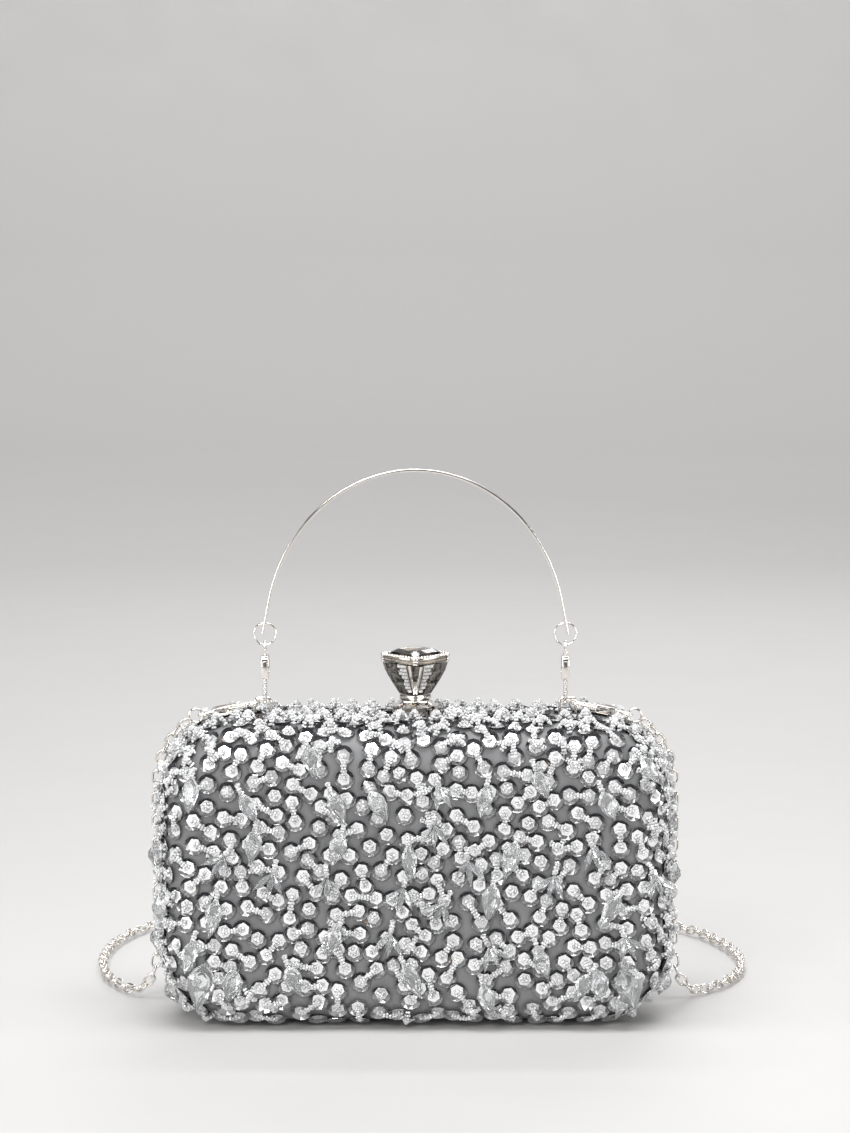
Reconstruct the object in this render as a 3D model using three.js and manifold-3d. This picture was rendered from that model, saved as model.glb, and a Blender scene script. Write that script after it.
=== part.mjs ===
// An evening bag: two pillow-shaped half shells hinged along the bottom, each with a metal frame, a beaded
// cover and a lining, closed by a jewelled knob, with an arched band handle on swivel clasps and a chain
// strap. Millimetres. X runs left to right, -Y is the front, +Z is up, and the origin is the middle of the
// bag's bottom.
import * as THREE from "three";
import { mergeVertices } from "three/addons/utils/BufferGeometryUtils.js";
import Module from "manifold-3d";

const wasm = await Module();
wasm.setup();

// ---------------------------------------------------------------- driving dimensions

const GAP = 0.3; // clearance between neighbouring pieces
const SIDES = 10; // sides of a round piece
const CORNER_STEPS = 5; // steps in each rounded corner of the bag's outline
const EDGE_STEPS = 4; // steps across the bag's rounded edge
const RING_SIDES = 6; // sides of a ring's wire
const RING_STEPS = 20; // steps round a ring
const EYE_STEPS = 12; // steps round a clasp's eye
const FAR = 400; // reach of a cutting block

const bag = {
  width: 200,
  height: 121,
  depth: 66,
  cornerRadius: 32,
  edgeInPlane: 18, // the rounded edge's reach across the front face
  edgeInDepth: 16, // and its reach in depth
  coverWall: 2.4,
  shellWall: 1.8,
  liningWall: 0.8,
};

const frame = {
  inset: 2.2, // from the covers' outside to the frame's outside
  radial: 3.2,
  depth: 2.8, // front to back, of each half
  parting: 0.2, // from the bag's middle plane to each half
  lipReach: 8, // how far the inner lip reaches into its half
  lipWall: 0.9,
};

const hinge = {
  axisHeight: 1.7,
  length: 62,
  knuckles: 5,
  knuckleRadius: 1.5,
  pinRadius: 0.6,
  leafWall: 1.1,
};

const staple = {
  fromSide: 39.85, // from the bag's side to its middle
  lean: 1.6, // its place behind the bag's middle plane
  halfWidth: 3.2,
  height: 7.6, // from the frame to the bar's centre
  wireRadius: 0.6,
  cornerRadius: 1.4,
};

const clasp = {
  wireRadius: 0.7,
  hookRadius: 2.3,
  hookCentre: 0.7, // above the wire that the clasp hangs on
  tipHeight: 1.6,
  bodyStart: 8.2,
  bodyEnd: 17,
  bodyHalfWidth: 3.2,
  bodyHalfThickness: 1.6,
  bodyEdge: 0.8,
  leverHalfThickness: 0.6,
  leverHalfWidth: 0.6,
  leverHub: 1.1,
  leverPivot: [2.0, 10],
  tab: { reach: 1.5, from: 6.6, to: 7.8 },
  postRadius: 0.5,
  headRadius: 0.9,
  headHeight: 1,
  headStart: 13.7,
  eyeRadius: 1.7,
  eyeWireRadius: 0.5,
  eyeHeight: 20.9,
  handleInward: 0.95, // of the handle's clasps, from the staples' middles
};

const ring = { radius: 4.25, wireRadius: 0.5 };
const endRing = { radius: 2.6, wireRadius: 0.5 };

const handle = {
  inward: 0.5, // of the arch's springing, from the clasps
  rise: 64.8,
  centreAboveRing: 0.05,
  straightFrom: 12, // degrees from the arch's springing, where its ends run straight
  width: 4,
  thickness: 1.2,
  edge: 0.3,
  holeRadius: 1.1,
  tip: 4.2, // from the hole to the band's end
  steps: 32,
};

const latch = {
  halfWidth: 9,
  front: 0.4,
  back: 9.4,
  baseHeight: 4.3,
  windowHalfWidth: 5.6,
  windowBack: 8,
  pinY: 4.4,
  pinRise: 2.5, // above the base's underside
  pinRadius: 0.8,
  stemHalfWidth: 5,
  stemFront: -2.5,
  stemBack: 7,
  stemLift: 1.1, // its underside above the base's
  stemTop: 6.6,
  pocketHalfWidth: 2.2,
  springRadius: 1.5,
  springWireRadius: 0.3,
  springTurns: 3,
  tongueReach: -7,
  tongueHalfWidth: 4,
  tongueThickness: 1.6,
  catchHalfWidth: 8,
  catchFront: -7.5,
  catchBack: -0.5,
  catchThickness: 1.1,
};

const knob = {
  centreY: 2.2,
  collarReach: 6.6, // half the diagonal of each square
  collarHeight: 2,
  basketHeight: 12.4,
  basketReach: [6.4, 8.6, 10.9, 12.9, 13.9],
  girdleReach: 14.6,
  girdleHeight: 3.4,
  crystalReach: 13.2,
  crystalHeight: 1.8,
  crystalTable: 8.6,
  cornerRounding: 0.93, // of the half diagonal that is kept
};

const chain = { radius: 2.4, sides: 8, steps: 80, slope: 12, hookDrop: 2.0 };

const hingeBore = hinge.pinRadius + GAP;
const latchBore = latch.pinRadius + GAP;

// The strap's middle line, from the right end ring over the shoulder, down, along the surface and back up.
const STRAP = [
  [89.7, 2.2, 117.4], [93.6, 4.8, 113.6], [98.6, 8.6, 106.6], [102.2, 12.8, 98], [103.4, 18.6, 74],
  [103.5, 21.6, 28], [105.2, 22.9, 12], [112, 27.6, 3.4], [121.6, 37, 2.6], [132, 57, 2.6],
  [136.2, 88, 2.6], [130, 122, 2.6], [116, 150, 2.6], [94, 165, 2.6], [40, 170, 2.6],
  [-46, 158, 2.6], [-52, 140, 2.6], [-38, 125, 2.6], [40, 121, 2.6], [68, 110, 2.6], [74, 92, 2.6],
  [58, 77, 2.6], [-30, 79, 2.6], [-58, 92, 2.6], [-68, 120, 2.6], [-76, 150, 2.6], [-94, 166, 2.6],
  [-113, 158, 2.6], [-126, 130, 2.6], [-130.8, 94, 2.6], [-127, 58, 2.6], [-119.4, 38.4, 2.6],
  [-111.4, 27.6, 3.4], [-105.2, 22.9, 12], [-103.5, 21.6, 28], [-103.4, 18.6, 74],
  [-102.2, 12.8, 98], [-98.6, 8.6, 106.6], [-93.6, 4.8, 113.6], [-89.7, 2.2, 117.4],
];

// ---------------------------------------------------------------- finishes

const finish = {
  silver: { color: 0xd9d4cc, roughness: 0.18, metalness: 1 },
  chain: { color: 0xcfcac2, roughness: 0.24, metalness: 1 },
  beaded: { color: 0xb9bbbd, roughness: 0.45, metalness: 0.3 },
  shell: { color: 0x34343a, roughness: 0.6, metalness: 0 },
  lining: { color: 0x8f9095, roughness: 0.5, metalness: 0 },
  crystal: { color: 0xf1f4f8, roughness: 0.05, metalness: 0 },
};

// ---------------------------------------------------------------- solids and meshes

function solid(geometry) {
  const plain = geometry.clone();
  plain.deleteAttribute("normal");
  plain.deleteAttribute("uv");
  const merged = mergeVertices(plain, 1e-4);
  const corners = merged.index.array;
  const kept = [];
  for (let i = 0; i < corners.length; i += 3) {
    const [a, b, c] = [corners[i], corners[i + 1], corners[i + 2]];
    if (a !== b && b !== c && c !== a) kept.push(a, b, c);
  }
  return new wasm.Manifold(
    new wasm.Mesh({
      numProp: 3,
      vertProperties: new Float32Array(merged.attributes.position.array),
      triVerts: new Uint32Array(kept),
    }),
  );
}

function geometryOf(shape) {
  const { vertProperties, triVerts } = shape.getMesh();
  const geometry = new THREE.BufferGeometry();
  geometry.setAttribute("position", new THREE.BufferAttribute(new Float32Array(vertProperties), 3));
  geometry.setIndex(new THREE.BufferAttribute(new Uint32Array(triVerts), 1));
  return geometry;
}

function piece(name, shape, look) {
  const mesh = new THREE.Mesh(geometryOf(shape), new THREE.MeshStandardMaterial(look));
  mesh.name = name;
  return mesh;
}

function join(...shapes) {
  return shapes.reduce((whole, shape) => whole.add(shape));
}

function block(x, y, z) {
  const geometry = new THREE.BoxGeometry(x[1] - x[0], y[1] - y[0], z[1] - z[0]);
  geometry.translate((x[0] + x[1]) / 2, (y[0] + y[1]) / 2, (z[0] + z[1]) / 2);
  return solid(geometry);
}

// A cylinder along X from x[0] to x[1].
function rodAlongX(x, y, z, radius, sides = SIDES) {
  const geometry = new THREE.CylinderGeometry(radius, radius, x[1] - x[0], sides);
  geometry.rotateZ(Math.PI / 2).translate((x[0] + x[1]) / 2, y, z);
  return solid(geometry);
}

// A cylinder along Z from z[0] to z[1].
function rodAlongZ(x, y, z, radius, sides = SIDES) {
  const geometry = new THREE.CylinderGeometry(radius, radius, z[1] - z[0], sides);
  geometry.rotateX(Math.PI / 2).translate(x, y, (z[0] + z[1]) / 2);
  return solid(geometry);
}

function circle(radius, sides) {
  const shape = new THREE.Shape();
  for (let i = 0; i < sides; i++) {
    const turn = (2 * Math.PI * i) / sides;
    shape[i ? "lineTo" : "moveTo"](radius * Math.cos(turn), radius * Math.sin(turn));
  }
  shape.closePath();
  return shape;
}

// A round wire along a smooth line through the points.
function wire(points, radius, sides, steps) {
  const line = new THREE.CatmullRomCurve3(points.map((p) => new THREE.Vector3(...p)), false, "centripetal");
  return solid(
    new THREE.ExtrudeGeometry(circle(radius, sides), { steps, bevelEnabled: false, extrudePath: line }),
  );
}

// A round wire bent to straight runs and quarter-round corners; the points are the corners before rounding.
function bentWire(points, cornerRadius, radius, sides) {
  const places = [points[0]];
  for (let i = 1; i < points.length - 1; i++) {
    const corner = new THREE.Vector3(...points[i]);
    const back = new THREE.Vector3(...points[i - 1]).sub(corner).setLength(cornerRadius);
    const on = new THREE.Vector3(...points[i + 1]).sub(corner).setLength(cornerRadius);
    const centre = corner.clone().add(back).add(on);
    for (let turn = 0; turn <= 3; turn++) {
      const angle = (turn * Math.PI) / 6;
      places.push(
        centre.clone().addScaledVector(on, -Math.cos(angle)).addScaledVector(back, -Math.sin(angle)).toArray(),
      );
    }
  }
  places.push(points[points.length - 1]);
  return wire(places, radius, sides, 6 * (points.length - 1));
}

// A closed wire ring about the origin, lying in the XZ plane.
function wireRing(radius, wireRadius) {
  return solid(new THREE.TorusGeometry(radius, wireRadius, RING_SIDES, RING_STEPS).rotateX(Math.PI / 2));
}

// ---------------------------------------------------------------- the two halves

function outline(inset) {
  const half = bag.width / 2 - inset;
  const low = inset;
  const high = bag.height - inset;
  const r = bag.cornerRadius - inset;
  const shape = new THREE.Shape();
  shape.moveTo(-half + r, low);
  shape.lineTo(half - r, low);
  shape.absarc(half - r, low + r, r, -Math.PI / 2, 0);
  shape.lineTo(half, high - r);
  shape.absarc(half - r, high - r, r, 0, Math.PI / 2);
  shape.lineTo(-half + r, high);
  shape.absarc(-half + r, high - r, r, Math.PI / 2, Math.PI);
  shape.lineTo(-half, low + r);
  shape.absarc(-half + r, low + r, r, Math.PI, 1.5 * Math.PI);
  return shape;
}

// The bag's whole outer form, set in all round by the inset.
function pillow(inset) {
  const straight = bag.depth - 2 * bag.edgeInDepth;
  const geometry = new THREE.ExtrudeGeometry(outline(inset), {
    depth: straight,
    steps: 1,
    curveSegments: CORNER_STEPS,
    bevelSegments: EDGE_STEPS,
    bevelThickness: bag.edgeInDepth - inset,
    bevelSize: bag.edgeInPlane - inset,
    bevelOffset: inset - bag.edgeInPlane,
  });
  return solid(geometry.rotateX(Math.PI / 2).translate(0, straight / 2, 0));
}

// A slab with the bag's outline between two depths.
function outlineSlab(inset, y) {
  const geometry = new THREE.ExtrudeGeometry(outline(inset), {
    depth: y[1] - y[0],
    curveSegments: CORNER_STEPS,
    bevelEnabled: false,
  });
  return solid(geometry.rotateX(Math.PI / 2).translate(0, y[1], 0));
}

// The pair of depths that a stretch from near to far takes on the back (+1) or front (-1) side.
function depths(side, near, far) {
  return side > 0 ? [near, far] : [-far, -near];
}

const wallStart = frame.parting + frame.depth + GAP;
const shellInset = bag.coverWall + GAP;
const liningInset = shellInset + bag.shellWall + GAP;
const lipInset = liningInset + bag.liningWall + GAP;
const frameTop = bag.height - frame.inset;
const seatHeight = frameTop + GAP; // what stands on the frame starts here

function skin(side, inset, wall) {
  const half = block([-FAR, FAR], depths(side, wallStart, FAR), [-FAR, FAR]);
  return pillow(inset).subtract(pillow(inset + wall)).intersect(half);
}

function hingeClearance() {
  const reach = hinge.length / 2 + GAP;
  return rodAlongX([-reach, reach], 0, hinge.axisHeight, hinge.knuckleRadius + GAP);
}

function halfFrame(side) {
  const near = frame.parting;
  const rim = outlineSlab(frame.inset, depths(side, near, near + frame.depth)).subtract(
    outlineSlab(frame.inset + frame.radial, depths(side, near - GAP, near + frame.depth + GAP)),
  );
  const lip = outlineSlab(lipInset, depths(side, near, frame.lipReach)).subtract(
    outlineSlab(lipInset + frame.lipWall, depths(side, near - GAP, frame.lipReach + GAP)),
  );
  const web = outlineSlab(frame.inset + frame.radial / 2, depths(side, near, near + frame.depth)).subtract(
    outlineSlab(lipInset + frame.lipWall / 2, depths(side, near - GAP, near + frame.depth + GAP)),
  );
  return join(rim, lip, web).subtract(hingeClearance());
}

function latchNotch(side) {
  const reach = side > 0 ? latch.back : -latch.catchFront;
  const halfWidth = (side > 0 ? latch.halfWidth : latch.catchHalfWidth) + GAP;
  return block([-halfWidth, halfWidth], depths(side, 0, reach + GAP), [seatHeight - GAP, FAR]);
}

// One half's beaded cover, notched where the latch sits.
function cover(side) {
  return skin(side, 0, bag.coverWall).subtract(latchNotch(side));
}

function hingeLeaf(side) {
  const knuckle = hinge.length / hinge.knuckles;
  const start = -hinge.length / 2;
  const top = bag.height - frameTop - GAP;
  const inner = hingeBore + GAP;
  const plate = block(
    [start, -start],
    depths(side, inner, frame.parting + frame.depth),
    [top - hinge.leafWall, top],
  );
  let leaf = plate;
  for (let i = 0; i < hinge.knuckles; i++) {
    const span = [start + i * knuckle, start + (i + 1) * knuckle];
    const own = i % 2 === (side > 0 ? 0 : 1);
    if (own) {
      const trimmed = [span[0] + GAP / 2, span[1] - GAP / 2];
      leaf = leaf.add(rodAlongX(trimmed, 0, hinge.axisHeight, hinge.knuckleRadius));
    } else {
      const opened = [span[0] - GAP / 2, span[1] + GAP / 2];
      leaf = leaf.subtract(rodAlongX(opened, 0, hinge.axisHeight, hinge.knuckleRadius + GAP));
    }
  }
  return leaf.subtract(rodAlongX([-FAR, FAR], 0, hinge.axisHeight, hingeBore));
}

function addHalf(model, side, word, leafName) {
  model.add(
    piece(word + "_shell", skin(side, shellInset, bag.shellWall), finish.shell),
    piece(word + "_beaded_cover", cover(side), finish.beaded),
    piece(word + "_frame", halfFrame(side), finish.silver),
    piece(word + "_lining", skin(side, liningInset, bag.liningWall), finish.lining),
    piece(leafName, hingeLeaf(side), finish.silver),
  );
}

// ---------------------------------------------------------------- latch and knob

const pinHeight = seatHeight + latch.pinRise;

function latchBase() {
  const top = seatHeight + latch.baseHeight;
  const window = block(
    [-latch.windowHalfWidth, latch.windowHalfWidth],
    [latch.front - GAP, latch.windowBack],
    [seatHeight - GAP, top + GAP],
  );
  return block([-latch.halfWidth, latch.halfWidth], [latch.front, latch.back], [seatHeight, top])
    .subtract(window)
    .subtract(rodAlongX([-FAR, FAR], latch.pinY, pinHeight, latchBore));
}

function latchStem() {
  const low = seatHeight + latch.stemLift;
  const tongueLow = seatHeight + latch.catchThickness + GAP;
  const across = [-latch.stemHalfWidth, latch.stemHalfWidth];
  const post = block(across, [latch.stemFront, latch.stemBack], [low, seatHeight + latch.stemTop]);
  const tongue = block(
    [-latch.tongueHalfWidth, latch.tongueHalfWidth],
    [latch.tongueReach, latch.stemFront + GAP],
    [tongueLow, tongueLow + latch.tongueThickness],
  );
  const springReach = latch.springRadius + latch.springWireRadius + GAP;
  const pocket = block(
    [-latch.pocketHalfWidth, latch.pocketHalfWidth],
    [latch.pinY - springReach, FAR],
    [low - GAP, pinHeight + springReach],
  );
  return post.add(tongue).subtract(pocket).subtract(rodAlongX([-FAR, FAR], latch.pinY, pinHeight, latchBore));
}

function latchSpring() {
  const half = latch.pocketHalfWidth - GAP - latch.springWireRadius;
  const perTurn = 12;
  const coil = [];
  for (let i = 0; i <= latch.springTurns * perTurn; i++) {
    const share = i / (latch.springTurns * perTurn);
    const turn = 2 * Math.PI * share * latch.springTurns - Math.PI / 2;
    coil.push([
      half * (2 * share - 1),
      latch.pinY + latch.springRadius * Math.cos(turn),
      pinHeight + latch.springRadius * Math.sin(turn),
    ]);
  }
  const low = pinHeight - latch.springRadius;
  coil.unshift([-half, latch.pinY - latch.springRadius, low]);
  coil.push([half, latch.pinY + latch.springRadius, low]);
  return wire(coil, latch.springWireRadius, 5, latch.springTurns * perTurn);
}

function catchPlate() {
  const window = block(
    [-latch.tongueHalfWidth - GAP, latch.tongueHalfWidth + GAP],
    [latch.tongueReach - GAP / 2, latch.tongueReach + latch.tongueThickness],
    [seatHeight - GAP, seatHeight + latch.catchThickness + GAP],
  );
  return block(
    [-latch.catchHalfWidth, latch.catchHalfWidth],
    [latch.catchFront, latch.catchBack],
    [seatHeight, seatHeight + latch.catchThickness],
  ).subtract(window);
}

// A square turned with its corners to the front, back, left and right, from pairs of reach and height.
function turnedSquare(profile) {
  const closed = [[0, profile[0][1]], ...profile, [0, profile[profile.length - 1][1]]];
  const turn = (share, sides) =>
    solid(
      new THREE.LatheGeometry(closed.map(([reach, height]) => new THREE.Vector2(reach * share, height)), sides)
        .rotateX(Math.PI / 2)
        .translate(0, knob.centreY, 0),
    );
  return turn(1, 4).intersect(turn(knob.cornerRounding, 24));
}

function addKnob(model) {
  const collarLow = seatHeight + latch.stemTop + GAP;
  const basketLow = collarLow + knob.collarHeight + GAP;
  const girdleLow = basketLow + knob.basketHeight + GAP;
  const crystalLow = girdleLow + knob.girdleHeight + GAP;
  const basketStep = knob.basketHeight / (knob.basketReach.length - 1);
  const collar = turnedSquare([
    [knob.collarReach, collarLow],
    [knob.collarReach, collarLow + knob.collarHeight],
  ]);
  const basket = turnedSquare(knob.basketReach.map((reach, i) => [reach, basketLow + i * basketStep]));
  const girdle = turnedSquare([
    [knob.girdleReach, girdleLow],
    [knob.girdleReach, girdleLow + knob.girdleHeight],
  ]);
  const crystal = turnedSquare([
    [knob.crystalReach, crystalLow],
    [knob.crystalTable, crystalLow + knob.crystalHeight],
  ]);
  model.add(
    piece("latch_stem", latchStem(), finish.silver),
    piece("knob_collar", collar, finish.silver),
    piece("knob_basket", basket, finish.silver),
    piece("knob_girdle", girdle, finish.silver),
    piece("knob_crystal", crystal, finish.crystal),
  );
}

function addLatch(model) {
  const pinReach = latch.halfWidth - GAP;
  model.add(
    piece("latch_base", latchBase(), finish.silver),
    piece(
      "latch_pin",
      rodAlongX([-pinReach, pinReach], latch.pinY, pinHeight, latch.pinRadius),
      finish.silver,
    ),
    piece("latch_spring", latchSpring(), finish.silver),
    piece("catch_plate", catchPlate(), finish.silver),
  );
}

// ---------------------------------------------------------------- clasps, rings and handle

const barHeight = frameTop + staple.height;
const stapleX = bag.width / 2 - staple.fromSide;
const claspX = stapleX - clasp.handleInward;
const halfSpan = claspX - handle.inward;

function stapleWire(side) {
  const x = side * stapleX;
  return bentWire(
    [
      [x - staple.halfWidth, staple.lean, seatHeight],
      [x - staple.halfWidth, staple.lean, barHeight],
      [x + staple.halfWidth, staple.lean, barHeight],
      [x + staple.halfWidth, staple.lean, seatHeight],
    ],
    staple.cornerRadius,
    staple.wireRadius,
    6,
  );
}

// The clasp's own frame: it hangs on a wire along X through the origin, and its length runs up Z.
function claspBody() {
  const { hookRadius, hookCentre, bodyStart, bodyEnd, bodyHalfWidth, bodyHalfThickness } = clasp;
  const hook = [[0, -hookRadius, bodyStart + 1]];
  for (let i = 0; i <= 8; i++) {
    const turn = Math.PI + (Math.PI * i) / 8;
    hook.push([0, hookRadius * Math.cos(turn), hookCentre + hookRadius * Math.sin(turn)]);
  }
  hook.push([0, hookRadius, clasp.tipHeight]);
  const edge = clasp.bodyEdge;
  const shape = new THREE.Shape();
  shape.moveTo(-bodyHalfWidth, bodyStart);
  shape.lineTo(bodyHalfWidth, bodyStart);
  shape.lineTo(bodyHalfWidth, bodyEnd - 2 * edge);
  shape.lineTo(bodyHalfWidth - 2 * edge, bodyEnd);
  shape.lineTo(2 * edge - bodyHalfWidth, bodyEnd);
  shape.lineTo(-bodyHalfWidth, bodyEnd - 2 * edge);
  const slabDepth = 2 * (bodyHalfThickness - edge);
  const slab = solid(
    new THREE.ExtrudeGeometry(shape, {
      depth: slabDepth,
      bevelThickness: edge,
      bevelSize: edge,
      bevelOffset: -edge,
      bevelSegments: 1,
    })
      .translate(0, 0, -slabDepth / 2)
      .applyMatrix4(new THREE.Matrix4().set(0, 0, 1, 0, 1, 0, 0, 0, 0, 1, 0, 0, 0, 0, 0, 1)),
  );
  const slotHalf = clasp.leverHalfThickness + GAP;
  const [pivotY, pivotZ] = clasp.leverPivot;
  const reach = clasp.leverHub + GAP;
  const slot = block([-slotHalf, slotHalf], [pivotY - reach, FAR], [bodyStart - GAP, pivotZ + reach]);
  const { headStart, headHeight, headRadius, postRadius } = clasp;
  const socket = rodAlongZ(0, 0, [headStart - GAP, headStart + headHeight + GAP], headRadius + GAP);
  const bore = rodAlongZ(0, 0, [headStart, bodyEnd + GAP], postRadius + GAP);
  return slab.add(wire(hook, clasp.wireRadius, 6, 16)).subtract(slot).subtract(socket).subtract(bore);
}

function claspTrigger() {
  const [pivotY, pivotZ] = clasp.leverPivot;
  const { leverHalfThickness: thin, leverHalfWidth: half, tab } = clasp;
  const middle = clasp.hookRadius;
  const lever = block([-thin, thin], [middle - half, middle + half], [clasp.tipHeight + GAP, pivotZ]);
  const hub = rodAlongX([-thin, thin], pivotY, pivotZ, clasp.leverHub);
  const thumb = block([-thin, thin], [middle, middle + half + tab.reach], [tab.from, tab.to]);
  return join(lever, hub, thumb);
}

function claspSwivel() {
  const { headStart, headHeight, headRadius, postRadius, eyeHeight, eyeRadius, eyeWireRadius } = clasp;
  const eye = solid(
    new THREE.TorusGeometry(eyeRadius, eyeWireRadius, RING_SIDES, EYE_STEPS).rotateY(Math.PI / 2).translate(0, 0, eyeHeight),
  );
  return join(
    rodAlongZ(0, 0, [headStart, headStart + headHeight], headRadius),
    rodAlongZ(0, 0, [headStart, eyeHeight - eyeRadius], postRadius),
    eye,
  );
}

function addClasp(model, name, place) {
  const group = new THREE.Group();
  group.add(
    piece(name + "_body", claspBody(), finish.silver),
    piece(name + "_trigger", claspTrigger(), finish.silver),
    piece(name + "_swivel", claspSwivel(), finish.silver),
  );
  group.applyMatrix4(place);
  model.add(group);
}

// Where a ring's wire passes the eye, above the clasp's origin: GAP short of the eye's own wire.
const wireInEye = clasp.eyeHeight + clasp.eyeRadius - clasp.eyeWireRadius - ring.wireRadius - GAP;
const ringHeight = barHeight + wireInEye + ring.radius;
const archCentre = ringHeight + handle.centreAboveRing;
const holeHeight = ringHeight + ring.radius + handle.holeRadius - ring.wireRadius - GAP;

// The handle's middle line as pairs of x and height, from the left end to the right end.
function archLine() {
  const line = [];
  const from = THREE.MathUtils.degToRad(handle.straightFrom);
  for (let i = 0; i <= handle.steps; i++) {
    const turn = Math.PI - from - ((Math.PI - 2 * from) * i) / handle.steps;
    line.push([halfSpan * Math.cos(turn), archCentre + handle.rise * Math.sin(turn)]);
  }
  const [x, height] = line[handle.steps];
  const spread = (halfSpan * Math.tan(from)) / handle.rise; // outwards for each mm down
  const low = holeHeight - handle.tip;
  const end = x + spread * (height - low);
  return [[-end, low], ...line, [end, low]];
}

function handleBand() {
  const line = archLine();
  const offset = (side) =>
    line.map(([x, z], i) => {
      const before = line[Math.max(0, i - 1)];
      const after = line[Math.min(line.length - 1, i + 1)];
      const along = new THREE.Vector2(after[0] - before[0], after[1] - before[1]).normalize();
      const half = (side * handle.thickness) / 2;
      return new THREE.Vector2(x - along.y * half, z + along.x * half);
    });
  const shape = new THREE.Shape([...offset(1).reverse(), ...offset(-1)]);
  const band = solid(
    new THREE.ExtrudeGeometry(shape, {
      depth: handle.width - 2 * handle.edge,
      bevelThickness: handle.edge,
      bevelSize: handle.edge,
      bevelOffset: -handle.edge,
      bevelSegments: 1,
    })
      .rotateX(Math.PI / 2)
      .translate(0, staple.lean + handle.width / 2 - handle.edge, 0),
  );
  return band.subtract(rodAlongX([-FAR, FAR], staple.lean, holeHeight, handle.holeRadius, 16));
}

// Sets the clasp on the outer leg of a staple, lying outwards and sloping down.
function chainClaspPlace(side) {
  const slope = THREE.MathUtils.degToRad(chain.slope);
  const along = new THREE.Vector3(side * Math.cos(slope), 0, -Math.sin(slope));
  const across = new THREE.Vector3(0, side, 0);
  const wireLine = new THREE.Vector3().crossVectors(across, along);
  const place = new THREE.Matrix4().makeBasis(wireLine, across, along);
  return place.setPosition(
    side * (stapleX + staple.halfWidth),
    staple.lean,
    barHeight - chain.hookDrop,
  );
}

function addSuspension(model, side, word) {
  model.add(piece(word + "_staple", stapleWire(side), finish.silver));
  const x = side * claspX;
  addClasp(model, word + "_handle_clasp", new THREE.Matrix4().makeTranslation(x, staple.lean, barHeight));
  const jump = piece(word + "_jump_ring", wireRing(ring.radius, ring.wireRadius), finish.silver);
  jump.position.set(x, staple.lean, ringHeight);
  model.add(jump);

  const place = chainClaspPlace(side);
  addClasp(model, word + "_chain_clasp", place);
  const end = piece(word + "_end_ring", wireRing(endRing.radius, endRing.wireRadius), finish.silver);
  end.position.set(0, 0, wireInEye + endRing.radius).applyMatrix4(place);
  model.add(end);
}

// ---------------------------------------------------------------- the model

const model = new THREE.Group();
addHalf(model, 1, "back", "rear_hinge_leaf");
addHalf(model, -1, "front", "front_hinge_leaf");
const pinReach = hinge.length / 2;
model.add(
  piece("hinge_pin", rodAlongX([-pinReach, pinReach], 0, hinge.axisHeight, hinge.pinRadius), finish.silver),
);
addLatch(model);
addKnob(model);
addSuspension(model, -1, "left");
addSuspension(model, 1, "right");
model.add(
  piece("handle_band", handleBand(), finish.silver),
  piece("chain_strap", wire(STRAP, chain.radius, chain.sides, chain.steps), finish.chain),
);

export default model;
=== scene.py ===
"""Builds the looks of an evening bag around its fixed frame: satin covers with sequins, seed beads and
crystals, the jewelled knob, the clasps, the arched handle and the chain strap."""

import math
import random

import bpy
import numpy as np
from bpy.props import FloatProperty, FloatVectorProperty, PointerProperty
from mathutils import Matrix, Vector


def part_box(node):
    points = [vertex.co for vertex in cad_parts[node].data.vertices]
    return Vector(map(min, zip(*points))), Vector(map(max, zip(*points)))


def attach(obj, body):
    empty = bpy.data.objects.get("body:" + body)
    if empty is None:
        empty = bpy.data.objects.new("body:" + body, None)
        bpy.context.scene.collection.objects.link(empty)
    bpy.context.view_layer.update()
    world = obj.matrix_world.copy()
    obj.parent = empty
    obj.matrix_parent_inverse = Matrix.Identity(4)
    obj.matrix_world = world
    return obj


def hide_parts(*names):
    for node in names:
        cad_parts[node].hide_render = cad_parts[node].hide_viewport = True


bl_info = {
    "name": "Evening bag",
    "version": (1, 0, 0),
    "blender": (4, 5, 0),
    "location": "3D View > Sidebar > Evening bag",
    "description": "Beaded covers, jewelled knob, clasps, handle and chain of an evening bag",
    "category": "Add Mesh",
}

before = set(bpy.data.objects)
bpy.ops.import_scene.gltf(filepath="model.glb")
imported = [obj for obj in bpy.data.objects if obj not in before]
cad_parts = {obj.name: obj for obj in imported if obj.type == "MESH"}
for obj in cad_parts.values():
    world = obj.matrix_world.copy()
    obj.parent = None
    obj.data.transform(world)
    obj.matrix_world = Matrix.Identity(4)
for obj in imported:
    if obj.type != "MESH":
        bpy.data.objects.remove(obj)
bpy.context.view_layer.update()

MM = 0.001
HALVES = {"front": -1, "back": 1}
SIDES = {"left": -1, "right": 1}


def cad_box(node):
    """Lowest and highest corner of a frame part, in millimetres."""
    low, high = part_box(node)
    return np.array(low) / MM, np.array(high) / MM


# ------------------------------------------------------------------ sizes that follow the frame

COVER_LOW, COVER_HIGH = cad_box("back_beaded_cover")
BAG_WIDTH = COVER_HIGH[0] - COVER_LOW[0]
BAG_HEIGHT = COVER_HIGH[2] - COVER_LOW[2]
HALF_DEPTH = COVER_HIGH[1]
MOUTH = COVER_LOW[1]  # where each cover starts, from the middle plane
CORNER_RADIUS = 32.0
EDGE_ACROSS = 18.0  # the rounded edge's reach across the face
EDGE_DEEP = 16.0  # and its reach in depth
FRAME_TOP = cad_box("back_frame")[1][2]
RING_LOW, RING_HIGH = cad_box("right_jump_ring")
CLASP_X = (RING_LOW[0] + RING_HIGH[0]) / 2
LEAN = (RING_LOW[1] + RING_HIGH[1]) / 2  # the fittings' place behind the middle plane
STAPLE_LOW, STAPLE_HIGH = cad_box("right_staple")
STAPLE_WIRE = (STAPLE_HIGH[1] - STAPLE_LOW[1]) / 2
BAR_HEIGHT = STAPLE_HIGH[2] - STAPLE_WIRE
CHAIN_SLOPE = math.radians(12)
CHAIN_HOOK_DROP = 2.0  # below the staple's bar

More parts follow.
